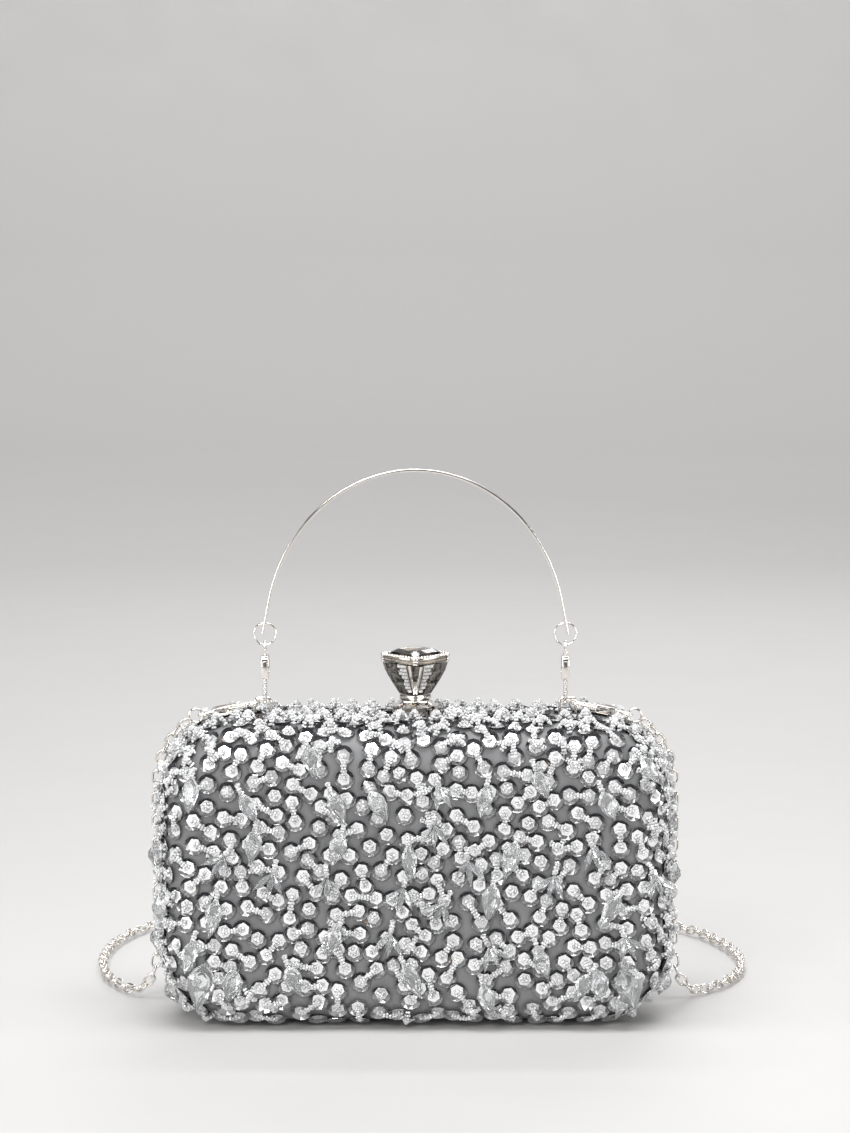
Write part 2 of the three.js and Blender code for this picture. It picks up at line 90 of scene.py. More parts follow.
# ------------------------------------------------------------------ ground that the beading leaves free

LATCH_ZONE = {"reach": 11.0, "deep": 12.0, "front": -9.5, "back": 11.5}
CLASP_ZONE = {"inner": 54.0, "outer": 93.0, "lowest": 100.0, "front": -4.5, "back": 7.0}
CHAIN_ZONE = {"inner": 90.0, "top": 116.0, "bend": 85.0, "half": 3.0}
CHAIN_LEAN_HIGH = (2.0, 0.55)  # the chain's place behind the middle at the zone's top, and its slope
CHAIN_LEAN_LOW = (19.0, 0.04)  # the same below the bend
SEQUIN_FLOOR = 3.8  # lowest sequin centre above the table
BEAD_FLOOR = 1.1  # lowest bead above the table
CRYSTAL_FLOOR = 17.0  # lowest place a drop is sewn to

# The strap's middle line, in metres: the frame's chain follows the same points.
STRAP = [
    (0.0897, 0.0022, 0.1174), (0.0936, 0.0048, 0.1136), (0.0986, 0.0086, 0.1066), (0.1022, 0.0128, 0.098),
    (0.1034, 0.0186, 0.074), (0.1035, 0.0216, 0.028), (0.1052, 0.0229, 0.012), (0.112, 0.0276, 0.0034),
    (0.1216, 0.037, 0.0026), (0.132, 0.057, 0.0026), (0.1362, 0.088, 0.0026), (0.13, 0.122, 0.0026),
    (0.116, 0.15, 0.0026), (0.094, 0.165, 0.0026), (0.04, 0.17, 0.0026), (-0.046, 0.158, 0.0026),
    (-0.052, 0.14, 0.0026), (-0.038, 0.125, 0.0026), (0.04, 0.121, 0.0026), (0.068, 0.11, 0.0026),
    (0.074, 0.092, 0.0026), (0.058, 0.077, 0.0026), (-0.03, 0.079, 0.0026), (-0.058, 0.092, 0.0026),
    (-0.068, 0.12, 0.0026), (-0.076, 0.15, 0.0026), (-0.094, 0.166, 0.0026), (-0.113, 0.158, 0.0026),
    (-0.126, 0.13, 0.0026), (-0.1308, 0.094, 0.0026), (-0.127, 0.058, 0.0026), (-0.1194, 0.0384, 0.0026),
    (-0.1114, 0.0276, 0.0034), (-0.1052, 0.0229, 0.012), (-0.1035, 0.0216, 0.028), (-0.1034, 0.0186, 0.074),
    (-0.1022, 0.0128, 0.098), (-0.0986, 0.0086, 0.1066), (-0.0936, 0.0048, 0.1136), (-0.0897, 0.0022, 0.1174),
]


class BagSizes(bpy.types.PropertyGroup):
    """Sizes of the trimmings, which a user may change."""

    sequin_width: FloatProperty(
        name="Sequin width", description="Across each cup sequin", default=0.0078,
        unit="LENGTH", min=0.004,
    )
    sequin_spacing: FloatProperty(
        name="Sequin spacing", description="Least distance between sequin centres", default=0.0065,
        unit="LENGTH", min=0.005,
    )
    bead_width: FloatProperty(
        name="Seed bead width", description="Across each seed bead", default=0.00135, unit="LENGTH", min=0.001
    )
    drop_length: FloatProperty(
        name="Crystal drop length", description="Tip to tip of the hanging drops", default=0.0145,
        unit="LENGTH",
    )
    satin_inset: FloatProperty(
        name="Satin inset", description="From the beading's outside to the satin", default=0.0021,
        unit="LENGTH",
    )
    link_length: FloatProperty(
        name="Link length", description="Outside length of a chain link", default=0.0067, unit="LENGTH"
    )
    link_width: FloatProperty(
        name="Link width", description="Outside width of a chain link", default=0.0046, unit="LENGTH"
    )
    link_wire: FloatProperty(
        name="Link wire", description="Wire diameter of a chain link", default=0.00095, unit="LENGTH"
    )


class BagColours(bpy.types.PropertyGroup):
    """Colours of the finishes, which a user may change."""

    plating: FloatVectorProperty(
        name="Plating", description="Polished silver-coloured plating", subtype="COLOR", size=3,
        default=(0.83, 0.79, 0.745), min=0, max=1,
    )
    satin: FloatVectorProperty(
        name="Satin", description="Grey satin under the beading", subtype="COLOR", size=3,
        default=(0.185, 0.186, 0.19), min=0, max=1,
    )
    sequin: FloatVectorProperty(
        name="Sequin", description="Silver foil of the sequins", subtype="COLOR", size=3,
        default=(0.97, 0.97, 0.97), min=0, max=1,
    )
    # A painted glint: warm reflections painted into the foil colour of a few sequins.
    glint: FloatVectorProperty(
        name="Warm glint", description="Amber tint on a few sequins", subtype="COLOR", size=3,
        default=(0.98, 0.70, 0.50), min=0, max=1,
    )
    bead: FloatVectorProperty(
        name="Seed bead", description="Silver-lined clear glass", subtype="COLOR", size=3,
        default=(0.86, 0.865, 0.87), min=0, max=1,
    )
    lining: FloatVectorProperty(
        name="Lining", description="Smooth grey lining", subtype="COLOR", size=3,
        default=(0.10, 0.10, 0.104), min=0, max=1,
    )


# ------------------------------------------------------------------ shader node groups


def new_group(name, inputs, outputs):
    """An empty shader node group with the named sockets, and its ends."""
    group = bpy.data.node_groups.new(name, "ShaderNodeTree")
    for label, value in inputs.items():
        socket = group.interface.new_socket(label, in_out="INPUT", socket_type="NodeSocketFloat")
        socket.default_value = value
    for label, kind in outputs.items():
        group.interface.new_socket(label, in_out="OUTPUT", socket_type=kind)
    return group, group.nodes.new("NodeGroupInput"), group.nodes.new("NodeGroupOutput")


def noise_in(group, detail, scale_socket=None, scale=1.0):
    """A noise texture on object coordinates in a group."""
    place = group.nodes.new("ShaderNodeTexCoord")
    noise = group.nodes.new("ShaderNodeTexNoise")
    noise.inputs["Detail"].default_value = detail
    noise.inputs["Scale"].default_value = scale
    group.links.new(place.outputs["Object"], noise.inputs["Vector"])
    if scale_socket:
        group.links.new(scale_socket, noise.inputs["Scale"])
    return noise


def handling_marks_group():
    """Roughness that varies as handled plating does, and the height of faint ripples."""
    group, start, end = new_group(
        "handling_marks",
        {"Scale": 60.0, "Least Roughness": 0.06, "Most Roughness": 0.2},
        {"Roughness": "NodeSocketFloat", "Height": "NodeSocketFloat"},
    )
    noise = noise_in(group, 5.0, start.outputs["Scale"])
    spread = group.nodes.new("ShaderNodeMapRange")
    spread.inputs["From Min"].default_value = 0.35
    spread.inputs["From Max"].default_value = 0.7
    links = group.links
    links.new(noise.outputs["Fac"], spread.inputs["Value"])
    links.new(start.outputs["Least Roughness"], spread.inputs["To Min"])
    links.new(start.outputs["Most Roughness"], spread.inputs["To Max"])
    links.new(spread.outputs["Result"], end.inputs["Roughness"])
    links.new(noise.outputs["Fac"], end.inputs["Height"])
    return group


def satin_weave_group():
    """Fine satin floats crossed by slubs: shade, height, and the height of soft creases."""
    group, start, end = new_group(
        "satin_weave",
        {"Threads": 2600.0, "Slub": 0.35},
        {"Shade": "NodeSocketFloat", "Height": "NodeSocketFloat", "Creases": "NodeSocketFloat"},
    )
    place = group.nodes.new("ShaderNodeTexCoord")
    heights = []
    for direction in ("X", "DIAGONAL"):
        wave = group.nodes.new("ShaderNodeTexWave")
        wave.bands_direction = direction
        wave.inputs["Distortion"].default_value = 1.2
        wave.inputs["Detail"].default_value = 1.0
        group.links.new(place.outputs["Object"], wave.inputs["Vector"])
        group.links.new(start.outputs["Threads"], wave.inputs["Scale"])
        heights.append(wave)
    both = group.nodes.new("ShaderNodeMath")
    both.operation = "MULTIPLY_ADD"
    both.inputs[1].default_value = 0.5
    group.links.new(heights[0].outputs["Fac"], both.inputs[0])
    group.links.new(heights[1].outputs["Fac"], both.inputs[2])
    slub = noise_in(group, 3.0, scale=180.0)
    shade = group.nodes.new("ShaderNodeMath")
    shade.operation = "MULTIPLY_ADD"
    group.links.new(slub.outputs["Fac"], shade.inputs[0])
    group.links.new(start.outputs["Slub"], shade.inputs[1])
    shade.inputs[2].default_value = 0.82
    group.links.new(shade.outputs["Value"], end.inputs["Shade"])
    group.links.new(both.outputs["Value"], end.inputs["Height"])
    creases = noise_in(group, 2.0, scale=26.0)
    creases.inputs["Distortion"].default_value = 1.4
    group.links.new(creases.outputs["Fac"], end.inputs["Creases"])
    return group


# ------------------------------------------------------------------ materials


def new_material(name):
    """A material with its Principled shader and node tree."""
    material = bpy.data.materials.new(name)
    material.use_nodes = True
    tree = material.node_tree
    return material, tree, tree.nodes["Principled BSDF"]


def use_group(tree, group_name, **values):
    """Places a node group in a material with the material's own values."""
    node = tree.nodes.new("ShaderNodeGroup")
    node.node_tree = bpy.data.node_groups[group_name]
    for label, value in values.items():
        node.inputs[label.replace("_", " ")].default_value = value
    return node


def add_bump(tree, shader, height, strength, distance):
    """Feeds a height to the shader's normal through a bump node."""
    bump = tree.nodes.new("ShaderNodeBump")
    bump.inputs["Strength"].default_value = strength
    bump.inputs["Distance"].default_value = distance
    tree.links.new(height, bump.inputs["Height"])
    tree.links.new(bump.outputs["Normal"], shader.inputs["Normal"])


def tinted_by(tree, attribute, plain, tint):
    """A colour that goes from plain to tint with a mesh attribute."""
    value = tree.nodes.new("ShaderNodeAttribute")
    value.attribute_name = attribute
    mix = tree.nodes.new("ShaderNodeMix")
    mix.data_type = "RGBA"
    mix.inputs["A"].default_value = (*plain, 1)
    mix.inputs["B"].default_value = (*tint, 1)
    tree.links.new(value.outputs["Fac"], mix.inputs["Factor"])
    return mix


def polished_plating(name, colour, scale=60.0, least=0.05, most=0.16):
    """Bright plating with faint ripples; least and most are how rough it is."""
    material, tree, shader = new_material(name)
    shader.inputs["Base Color"].default_value = (*colour, 1)
    shader.inputs["Metallic"].default_value = 1
    marks = use_group(tree, "handling_marks", Scale=scale, Least_Roughness=least, Most_Roughness=most)
    tree.links.new(marks.outputs["Roughness"], shader.inputs["Roughness"])
    add_bump(tree, shader, marks.outputs["Height"], 0.06, 0.0002)
    return material


def satin_cloth(name, colour, sheen=0.35, creased=0.0):
    """Satin; creased is the depth of its soft wrinkles, in metres."""
    material, tree, shader = new_material(name)
    weave = use_group(tree, "satin_weave", Threads=900.0, Slub=0.36)
    tone = tree.nodes.new("ShaderNodeMix")
    tone.data_type = "RGBA"
    tone.inputs["A"].default_value = (0, 0, 0, 1)
    tone.inputs["B"].default_value = (*colour, 1)
    tree.links.new(weave.outputs["Shade"], tone.inputs["Factor"])
    tree.links.new(tone.outputs["Result"], shader.inputs["Base Color"])
    shader.inputs["Roughness"].default_value = 0.42
    shader.inputs["Sheen Weight"].default_value = sheen
    shader.inputs["Sheen Roughness"].default_value = 0.35
    add_bump(tree, shader, weave.outputs["Height"], 0.25, 0.00015)
    if creased:
        folds = tree.nodes.new("ShaderNodeBump")
        folds.inputs["Strength"].default_value = 0.7
        folds.inputs["Distance"].default_value = creased
        tree.links.new(weave.outputs["Creases"], folds.inputs["Height"])
        fine = shader.inputs["Normal"].links[0].from_node
        tree.links.new(folds.outputs["Normal"], fine.inputs["Normal"])
    return material


def sequin_foil(colours):
    """Mirror foil with painted shade: dark on the cup's slanted wall, darkest on its upper side, standing in
    for the dark reflection there; a few sequins carry a painted warm glint.
    """
    material, tree, shader = new_material("sequin_foil")
    # Painted shade: the wall mark pulls the foil towards this near-black, most on each cup's upper wall, for
    # the dark reflection seen there.
    wall = tinted_by(tree, "wall", colours.sequin, (0.045, 0.045, 0.05))
    # Painted glint: a few faces of a few sequins are multiplied towards the warm glint colour.
    warm = tree.nodes.new("ShaderNodeAttribute")
    warm.attribute_name = "warm"
    tint = tree.nodes.new("ShaderNodeMix")
    tint.data_type = "RGBA"
    tint.blend_type = "MULTIPLY"
    tint.inputs["B"].default_value = (*colours.glint, 1)
    tree.links.new(warm.outputs["Fac"], tint.inputs["Factor"])
    tree.links.new(wall.outputs["Result"], tint.inputs["A"])
    tree.links.new(tint.outputs["Result"], shader.inputs["Base Color"])
    shader.inputs["Metallic"].default_value = 0.7
    marks = use_group(tree, "handling_marks", Scale=900.0, Least_Roughness=0.12, Most_Roughness=0.34)
    tree.links.new(marks.outputs["Roughness"], shader.inputs["Roughness"])
    return material


def silver_lined_glass(colours):
    """Seed beads: a bright lining under clear glass."""
    material, tree, shader = new_material("silver_lined_glass")
    tone = tinted_by(tree, "shade", colours.bead, (0.53, 0.53, 0.535))
    tree.links.new(tone.outputs["Result"], shader.inputs["Base Color"])
    shader.inputs["Metallic"].default_value = 0.05
    shader.inputs["Roughness"].default_value = 0.14
    shader.inputs["Transmission Weight"].default_value = 0.2
    shader.inputs["IOR"].default_value = 1.5
    shader.inputs["Coat Weight"].default_value = 1.0
    shader.inputs["Coat Roughness"].default_value = 0.03
    return material


def cut_crystal(name, clear):
    """Clear glass; less than wholly clear has an icy body."""
    material, _, shader = new_material(name)
    shader.inputs["Base Color"].default_value = (0.97, 0.98, 0.985, 1)
    shader.inputs["Roughness"].default_value = 0.01
    shader.inputs["IOR"].default_value = 1.56
    shader.inputs["Transmission Weight"].default_value = clear
    return material


def moulded_board():
    """The dark pressed board of the shells."""
    material, tree, shader = new_material("moulded_board")
    shader.inputs["Base Color"].default_value = (0.03, 0.03, 0.035, 1)
    marks = use_group(tree, "handling_marks", Scale=420.0, Least_Roughness=0.5, Most_Roughness=0.75)
    tree.links.new(marks.outputs["Roughness"], shader.inputs["Roughness"])
    add_bump(tree, shader, marks.outputs["Height"], 0.3, 0.0002)
    return material


def studio_paper():
    """The pale matt paper that the bag stands on."""
    material, tree, shader = new_material("studio_paper")
    shader.inputs["Base Color"].default_value = (0.50, 0.495, 0.49, 1)
    marks = use_group(tree, "handling_marks", Scale=14.0, Least_Roughness=0.55, Most_Roughness=0.7)
    tree.links.new(marks.outputs["Roughness"], shader.inputs["Roughness"])
    return material


def build_materials(colours):
    """All the finishes, after the effects that they share."""
    handling_marks_group()
    satin_weave_group()
    polished_plating("silver_plating", colours.plating)
    polished_plating("chain_plating", colours.plating, scale=500.0, least=0.09, most=0.24)
    polished_plating("toned_plating", (0.5, 0.465, 0.42), least=0.05, most=0.14)
    polished_plating("smoky_plating", (0.24, 0.225, 0.205), least=0.04, most=0.12)
    satin_cloth("grey_satin", colours.satin)
    satin_cloth("lining_satin", colours.lining, sheen=0.1, creased=0.004)
    sequin_foil(colours)
    silver_lined_glass(colours)
    cut_crystal("clear_crystal", 1.0)
    cut_crystal("icy_crystal", 0.88)
    moulded_board()
    studio_paper()


# ------------------------------------------------------------------ meshes


class Form:
    """Corners in millimetres and faces, gathered part by part before they become one mesh."""

    def __init__(self):
        self.corners = []
        self.faces = []
        self.marks = {}
        self.count = 0

    def add(self, corners, faces, **marks):
        """Adds one part. Each mark is one number for the whole part or a list with one for each face."""
        corners = np.asarray(corners, dtype=float)
        for mark in set(self.marks) | set(marks):
            held = self.marks.setdefault(mark, [])
            held.extend([0.0] * (len(self.faces) - len(held)))
            value = marks.get(mark, 0.0)
            held.extend(value if isinstance(value, list) else [value] * len(faces))
        first = self.count
        self.faces.extend(tuple(first + corner for corner in face) for face in faces)
        self.corners.append(corners)
        self.count += len(corners)

    def put(self, part, place):
        """Adds a part that was made in a fitting's own frame, at the fitting's place."""
        corners, faces = part
        self.add(moved(corners, place), faces)

    def mesh(self, name):
        """A plain mesh of all that was added."""
        mesh = bpy.data.meshes.new(name)
        mesh.from_pydata((np.concatenate(self.corners) * MM).tolist(), [], self.faces)
        return mesh

    def piece(self, name, body, slot, material, smooth=None):
        """Makes the mesh object, on its body; slot is not used. Smooth is the angle below which edges are
        soft.
        """
        mesh = self.mesh(name)
        for mark, values in self.marks.items():
            layer = mesh.attributes.new(mark, "FLOAT", "FACE")
            layer.data.foreach_set("value", values)
        mesh.validate()
        if smooth is not None:
            mesh.polygons.foreach_set("use_smooth", [True] * len(mesh.polygons))
            mesh.set_sharp_from_angle(angle=math.radians(smooth))
        obj = bpy.data.objects.new(name, mesh)
        bpy.context.scene.collection.objects.link(obj)
        mesh.materials.append(bpy.data.materials[material])
        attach(obj, body)
        return obj


def grid_faces(rows, columns, closed=True):
    """Quads between rows of corners, each row a ring when closed."""
    last = columns if closed else columns - 1
    return [
        (r * columns + c, r * columns + (c + 1) % columns, (r + 1) * columns + (c + 1) % columns,
         (r + 1) * columns + c)
        for r in range(rows - 1)
        for c in range(last)
    ]


def capped_faces(rows, columns):
    """Quads between closed rows of corners, with a cap at each end."""
    first = tuple(range(columns))[::-1]
    last = tuple(range((rows - 1) * columns, rows * columns))
    return [*grid_faces(rows, columns), first, last]


def tube(points, radius, sides=10, closed=False):
    """A round wire along points."""
    points = np.asarray(points, dtype=float)
    count = len(points)
    if closed:
        ahead = np.roll(points, -1, axis=0) - np.roll(points, 1, axis=0)
    else:
        ahead = np.gradient(points, axis=0)
    ahead /= np.linalg.norm(ahead, axis=1)[:, None]
    side = np.cross(ahead[0], (0, 0, 1) if abs(ahead[0][2]) < 0.9 else (0, 1, 0))
    side /= np.linalg.norm(side)
    radii = np.broadcast_to(radius, count)
    turns = np.linspace(0, 2 * math.pi, sides, endpoint=False)
    rows = []
    for i in range(count):
        side = side - ahead[i] * side.dot(ahead[i])
        side /= np.linalg.norm(side)
        up = np.cross(ahead[i], side)
        ring = np.outer(np.cos(turns), side) + np.outer(np.sin(turns), up)
        rows.append(points[i] + radii[i] * ring)
    if not closed:
        return np.concatenate(rows), capped_faces(count, sides)
    start = (count - 1) * sides
    seam = [(start + c, start + (c + 1) % sides, (c + 1) % sides, c) for c in range(sides)]
    return np.concatenate(rows), grid_faces(count, sides) + seam


def ring_points(centre, radius, across, up, steps):
    """Points round a circle from its across direction towards its up direction."""
    turns = np.linspace(0, 2 * math.pi, steps, endpoint=False)
    across, up = np.asarray(across, float), np.asarray(up, float)
    return np.asarray(centre) + radius * (np.outer(np.cos(turns), across) + np.outer(np.sin(turns), up))


def ball(radius, sides=6, rings=4, squash=1.0):
    """A small faceted bead about the origin, its hole's axis along Z."""
    corners = [(0, 0, radius * squash)]
    for ring in range(1, rings):
        tilt = math.pi * ring / rings
        for side in range(sides):
            turn = 2 * math.pi * (side + 0.5 * (ring % 2)) / sides
            reach = radius * math.sin(tilt)
            height = radius * squash * math.cos(tilt)
            corners.append((reach * math.cos(turn), reach * math.sin(turn), height))
    corners.append((0, 0, -radius * squash))
    end = len(corners) - 1
    faces = [(0, 1 + s, 1 + (s + 1) % sides) for s in range(sides)]
    for ring in range(rings - 2):
        a, b = 1 + ring * sides, 1 + (ring + 1) * sides
        for s in range(sides):
            t = (s + 1) % sides
            faces.append((a + s, b + s, b + t, a + t))
    base = 1 + (rings - 2) * sides
    faces += [(end, base + (s + 1) % sides, base + s) for s in range(sides)]
    return np.array(corners), faces


def basis(normal, hint=(0, 0, 1), turn=0.0):
    """Three unit directions, the last along the normal and the second as near the hint as it goes."""
    normal = np.asarray(normal, float)
    normal = normal / np.linalg.norm(normal)
    hint = np.asarray(hint, float)
    nearly_along = 0.97
    if abs(hint.dot(normal)) > nearly_along:
        hint = np.array((0.0, 1.0, 0.0))
    up = hint - normal * hint.dot(normal)
    up /= np.linalg.norm(up)
    across = np.cross(up, normal)
    c, s = math.cos(turn), math.sin(turn)
    return np.array((across * c + up * s, up * c - across * s, normal))


def rounded_block(low, high, edge, steps=3):
    """A block with rounded edges, as corners and faces."""
    low, high = np.asarray(low, float), np.asarray(high, float)
    middle, half = (low + high) / 2, (high - low) / 2 - edge
    rows = []
    columns = 4 * (steps + 1)
    levels = [(-1, math.pi / 2 * (i / steps - 1)) for i in range(steps + 1)]
    levels += [(1, math.pi / 2 * i / steps) for i in range(steps + 1)]
    for end, tilt in levels:
        for quarter in range(4):
            for i in range(steps + 1):
                turn = math.pi / 2 * (quarter + i / steps)
                sx = 1 if quarter in (0, 3) else -1
                sy = 1 if quarter in (0, 1) else -1
                rows.append(
                    (
                        middle[0] + sx * half[0] + edge * math.cos(tilt) * math.cos(turn),
                        middle[1] + sy * half[1] + edge * math.cos(tilt) * math.sin(turn),
                        middle[2] + end * half[2] + edge * math.sin(tilt),
                    )
                )
    return np.array(rows), capped_faces(len(levels), columns)


# ------------------------------------------------------------------ the bag's rounded form


class Pillow:
    """One half's rounded form, set in from the beading's outside by some millimetres."""

    def __init__(self, side, inset):
        self.side = side
        self.radius = CORNER_RADIUS - inset
        self.across = EDGE_ACROSS - inset
        self.deep = EDGE_DEEP - inset
        self.shoulder = HALF_DEPTH - EDGE_DEEP
        self.half_width = BAG_WIDTH / 2 - inset
        self.half_height = BAG_HEIGHT / 2 - inset
        self.flat_x = self.half_width - self.radius
        self.flat_z = self.half_height - self.radius
        self.around = 4 * (self.flat_x + self.flat_z) + 2 * math.pi * self.radius

    def outline(self, along, setback=0.0):
        """A place on the outline and its outward direction, both in X and Z; along is in millimetres."""
        corner = math.pi * self.radius / 2
        runs = [2 * self.flat_x, corner, 2 * self.flat_z, corner] * 2
        along %= self.around
        for i, run in enumerate(runs):
            if along <= run or i == 7:
                break
            along -= run
        share = min(1.0, along / run)
        quarter = i // 2
        base = -math.pi / 2 + quarter * math.pi / 2
        signs = [(1, -1), (1, 1), (-1, 1), (-1, -1)][quarter]
        angle = base + share * math.pi / 2 if i % 2 else base
        out = np.array((math.cos(angle), math.sin(angle)))
        hub = np.array((signs[0] * self.flat_x, signs[1] * self.flat_z))
        if i % 2 == 0:
            start = [(-1, -1), (1, -1), (1, 1), (-1, 1)][quarter]
            first = np.array((start[0] * self.flat_x, start[1] * self.flat_z))
            hub = first + (hub - first) * share
        place = hub + out * (self.radius - setback)
        return place + np.array((0, BAG_HEIGHT / 2)), out

    def at(self, along, depth):
        """Place and outward normal. Depth runs from the mouth over the rounded edge, in millimetres."""
        wall = self.shoulder - MOUTH
        if depth <= wall:
            (x, z), out = self.outline(along)
            return np.array((x, self.side * (MOUTH + depth), z)), np.array((out[0], 0, out[1]))
        tilt = min(math.pi / 2, (depth - wall) / self.edge_length() * math.pi / 2)
        inward = max(0.0, depth - wall - self.edge_length())
        (x, z), out = self.outline(along, self.across * (1 - math.cos(tilt)) + inward)
        y = self.side * (self.shoulder + self.deep * math.sin(tilt))
        normal = np.array((
            out[0] * math.cos(tilt) * self.deep,
            self.side * math.sin(tilt) * self.across,
            out[1] * math.cos(tilt) * self.deep,
        ))
        return np.array((x, y, z)), normal / np.linalg.norm(normal)

    def edge_length(self):
        """How far it is over the rounded edge."""
        return math.pi * math.sqrt((self.across**2 + self.deep**2) / 2) / 2

    def face_half(self):
        """Half the flat face's width and height."""
        return self.half_width - self.across, self.half_height - self.across

    def skin_rows(self, columns=160, edge_rows=10):
        """Rows of corners from the mouth to the flat face's rim."""
        wall = self.shoulder - MOUTH
        depths = list(np.linspace(0, wall, 4)) + list(
            wall + self.edge_length() * np.linspace(0, 1, edge_rows + 1)[1:]
        )
        spots = np.linspace(0, self.around, columns, endpoint=False)
        return [[self.at(spot, depth)[0] for spot in spots] for depth in depths], columns

    def random_place(self, rng):
        """A random place on the half with its normal, evenly spread over the surface."""
        wall = self.shoulder - MOUTH
        half_x, half_z = self.face_half()
        mean_round = 0.9 * self.around  # the rounded edge is shorter round on average than the outline
        areas = (self.around * wall, mean_round * self.edge_length(), 4 * half_x * half_z)
        pick = rng.random() * sum(areas)
        if pick < areas[0]:
            return self.at(rng.random() * self.around, rng.random() * wall)
        if pick < areas[0] + areas[1]:
            return self.at(rng.random() * self.around, wall + rng.random() * self.edge_length())
        x = (2 * rng.random() - 1) * half_x
        z = (2 * rng.random() - 1) * half_z
        place = np.array((x, self.side * (self.shoulder + self.deep), z + BAG_HEIGHT / 2))
        return place, np.array((0.0, float(self.side), 0.0))


def skin_form(side, inset, wall):
    """A closed thin skin over one half."""
    form = Form()
    outer, columns = Pillow(side, inset).skin_rows()
    inner, _ = Pillow(side, inset + wall).skin_rows()
    rows = inner[::-1] + outer
    faces = capped_faces(len(rows), columns)
    if side > 0:
        faces = [face[::-1] for face in faces]
    form.add(np.array(rows).reshape(-1, 3), faces)
    return form


def near_fittings(place, reach=0.0):
    """Whether a place lies where the latch, staples, clasps or chain sit."""
    x, y, z = place
    latch, clasp, chain = LATCH_ZONE, CLASP_ZONE, CHAIN_ZONE
    if z > BAG_HEIGHT - latch["deep"] and abs(x) < latch["reach"] + reach:
        if latch["front"] - reach < y < latch["back"] + reach:
            return True
    if z > clasp["lowest"] and clasp["inner"] - reach < abs(x) < clasp["outer"] + reach:
        if clasp["front"] - reach < y < clasp["back"] + reach:
            return True
    if abs(x) > chain["inner"] - reach and z < chain["top"]:
        high = z > chain["bend"]
        start, slope = CHAIN_LEAN_HIGH if high else CHAIN_LEAN_LOW
        lean = start + ((chain["top"] if high else chain["bend"]) - z) * slope
        return abs(y - lean) < chain["half"] + reach
    return False


class Spread:
    """Places kept a least distance apart, found quickly by cell."""

    def __init__(self, distance):
        self.distance = distance
        self.cells = {}
        self.places = []

    def cell(self, place):
        """The cell that a place lies in."""
        return tuple(int(math.floor(v / self.distance)) for v in place)

    def near(self, place, distance=None):
        """Kept places nearer than the distance, nearest first, each with its gap."""
        distance = distance or self.distance
        reach = int(math.ceil(distance / self.distance))
        a, b, c = self.cell(place)
        found = []
        for i in range(a - reach, a + reach + 1):
            for j in range(b - reach, b + reach + 1):
                for k in range(c - reach, c + reach + 1):
                    for n in self.cells.get((i, j, k), ()):
                        gap = np.linalg.norm(self.places[n][0] - place)
                        if gap < distance:
                            found.append((gap, n))
        return sorted(found)

    def keep(self, place, normal):
        """Keeps a place and its outward direction."""
        self.cells.setdefault(self.cell(place), []).append(len(self.places))
        self.places.append((place, normal))

    def offer(self, place, normal):
        """Keeps a place unless it is too near another."""
        if not self.near(place):
            self.keep(place, normal)


# ------------------------------------------------------------------ covers, sequins, beads and crystals


def cup_sequin(width):
    """A cup sequin: a flat hexagonal middle, a slanted wall and an underside, with each face's part."""
    rim, middle, deep = width / 2, width * 0.345, width * 0.14
    skin, rest = 0.12, 0.15  # the foil's thickness and its height above the cloth
    corners, faces, parts = [], [], []
    for lift in (0.0, -skin):
        for radius, height, count in ((middle, rest, 6), (rim, rest + deep, 12)):
            for i in range(count):
                angle = 2 * math.pi * i / count
                corners.append((radius * math.cos(angle), radius * math.sin(angle), height + lift))
    faces.append((0, 1, 2, 3, 4, 5))
    faces.append((23, 22, 21, 20, 19, 18))
    parts += ["middle", "under"]
    for i in range(6):
        a, b = i, (i + 1) % 6
        outer = [6 + (2 * i + k) % 12 for k in range(3)]
        faces += [(a, outer[0], outer[1]), (a, outer[1], b), (b, outer[1], outer[2])]
        back = [corner + 18 for corner in (a, b, *outer)]
        faces += [(back[0], back[3], back[2]), (back[0], back[1], back[3]), (back[1], back[4], back[3])]
        parts += ["wall"] * 3 + ["under"] * 3
    for i in range(12):
        a, b = 6 + i, 6 + (i + 1) % 12
        faces.append((a, a + 18, b + 18, b))
        parts.append("edge")
    return np.array(corners), faces, parts


def painted_foil_shades(corners, faces, parts):
    """How dark each face of a placed sequin is painted, as painted shade: the wall's upper side darkest, its
    lower side lighter, the underside dark and the cut edge a little darkened.
    """
    even, swing, slope = 0.83, 0.17, 1.6
    shades = []
    for face, part in zip(faces, parts):
        if part == "wall":
            rise = corners[list(face)].mean(axis=0)[2] - corners[:6].mean(axis=0)[2]
            shades.append(even + swing * max(-1.0, min(1.0, rise / slope)))
        else:
            shades.append({"middle": 0.0, "under": 0.9, "edge": 0.15}[part])
    return shades


def leaf_crystal(length, width, thick):
    """A long cut crystal, pointed at both ends, its long axis along Y and its table along Z."""
    # The right half's outline, and the upper and lower table's share of it, as parts of width and length.
    right = [(0, 0.42), (0.3, 0.27), (0.5, 0.06), (0.44, -0.16), (0.22, -0.4), (0, -0.58)]
    upper, lower = (0.5, 0.66), (0.42, 0.6)
    rim = [(x * width, y * length) for x, y in right + [(-x, y) for x, y in right[-2:0:-1]]]
    corners = [(x, y, 0) for x, y in rim]
    corners += [(x * upper[0], y * upper[1], thick / 2) for x, y in rim]
    corners += [(x * lower[0], y * lower[1], -thick / 2) for x, y in rim]
    count = len(rim)
    faces = [tuple(range(2 * count - 1, count - 1, -1)), tuple(range(2 * count, 3 * count))]
    for i in range(count):
        j = (i + 1) % count
        faces.append((count + i, count + j, j, i))
        faces.append((i, j, 2 * count + j, 2 * count + i))
    return np.array(corners), faces


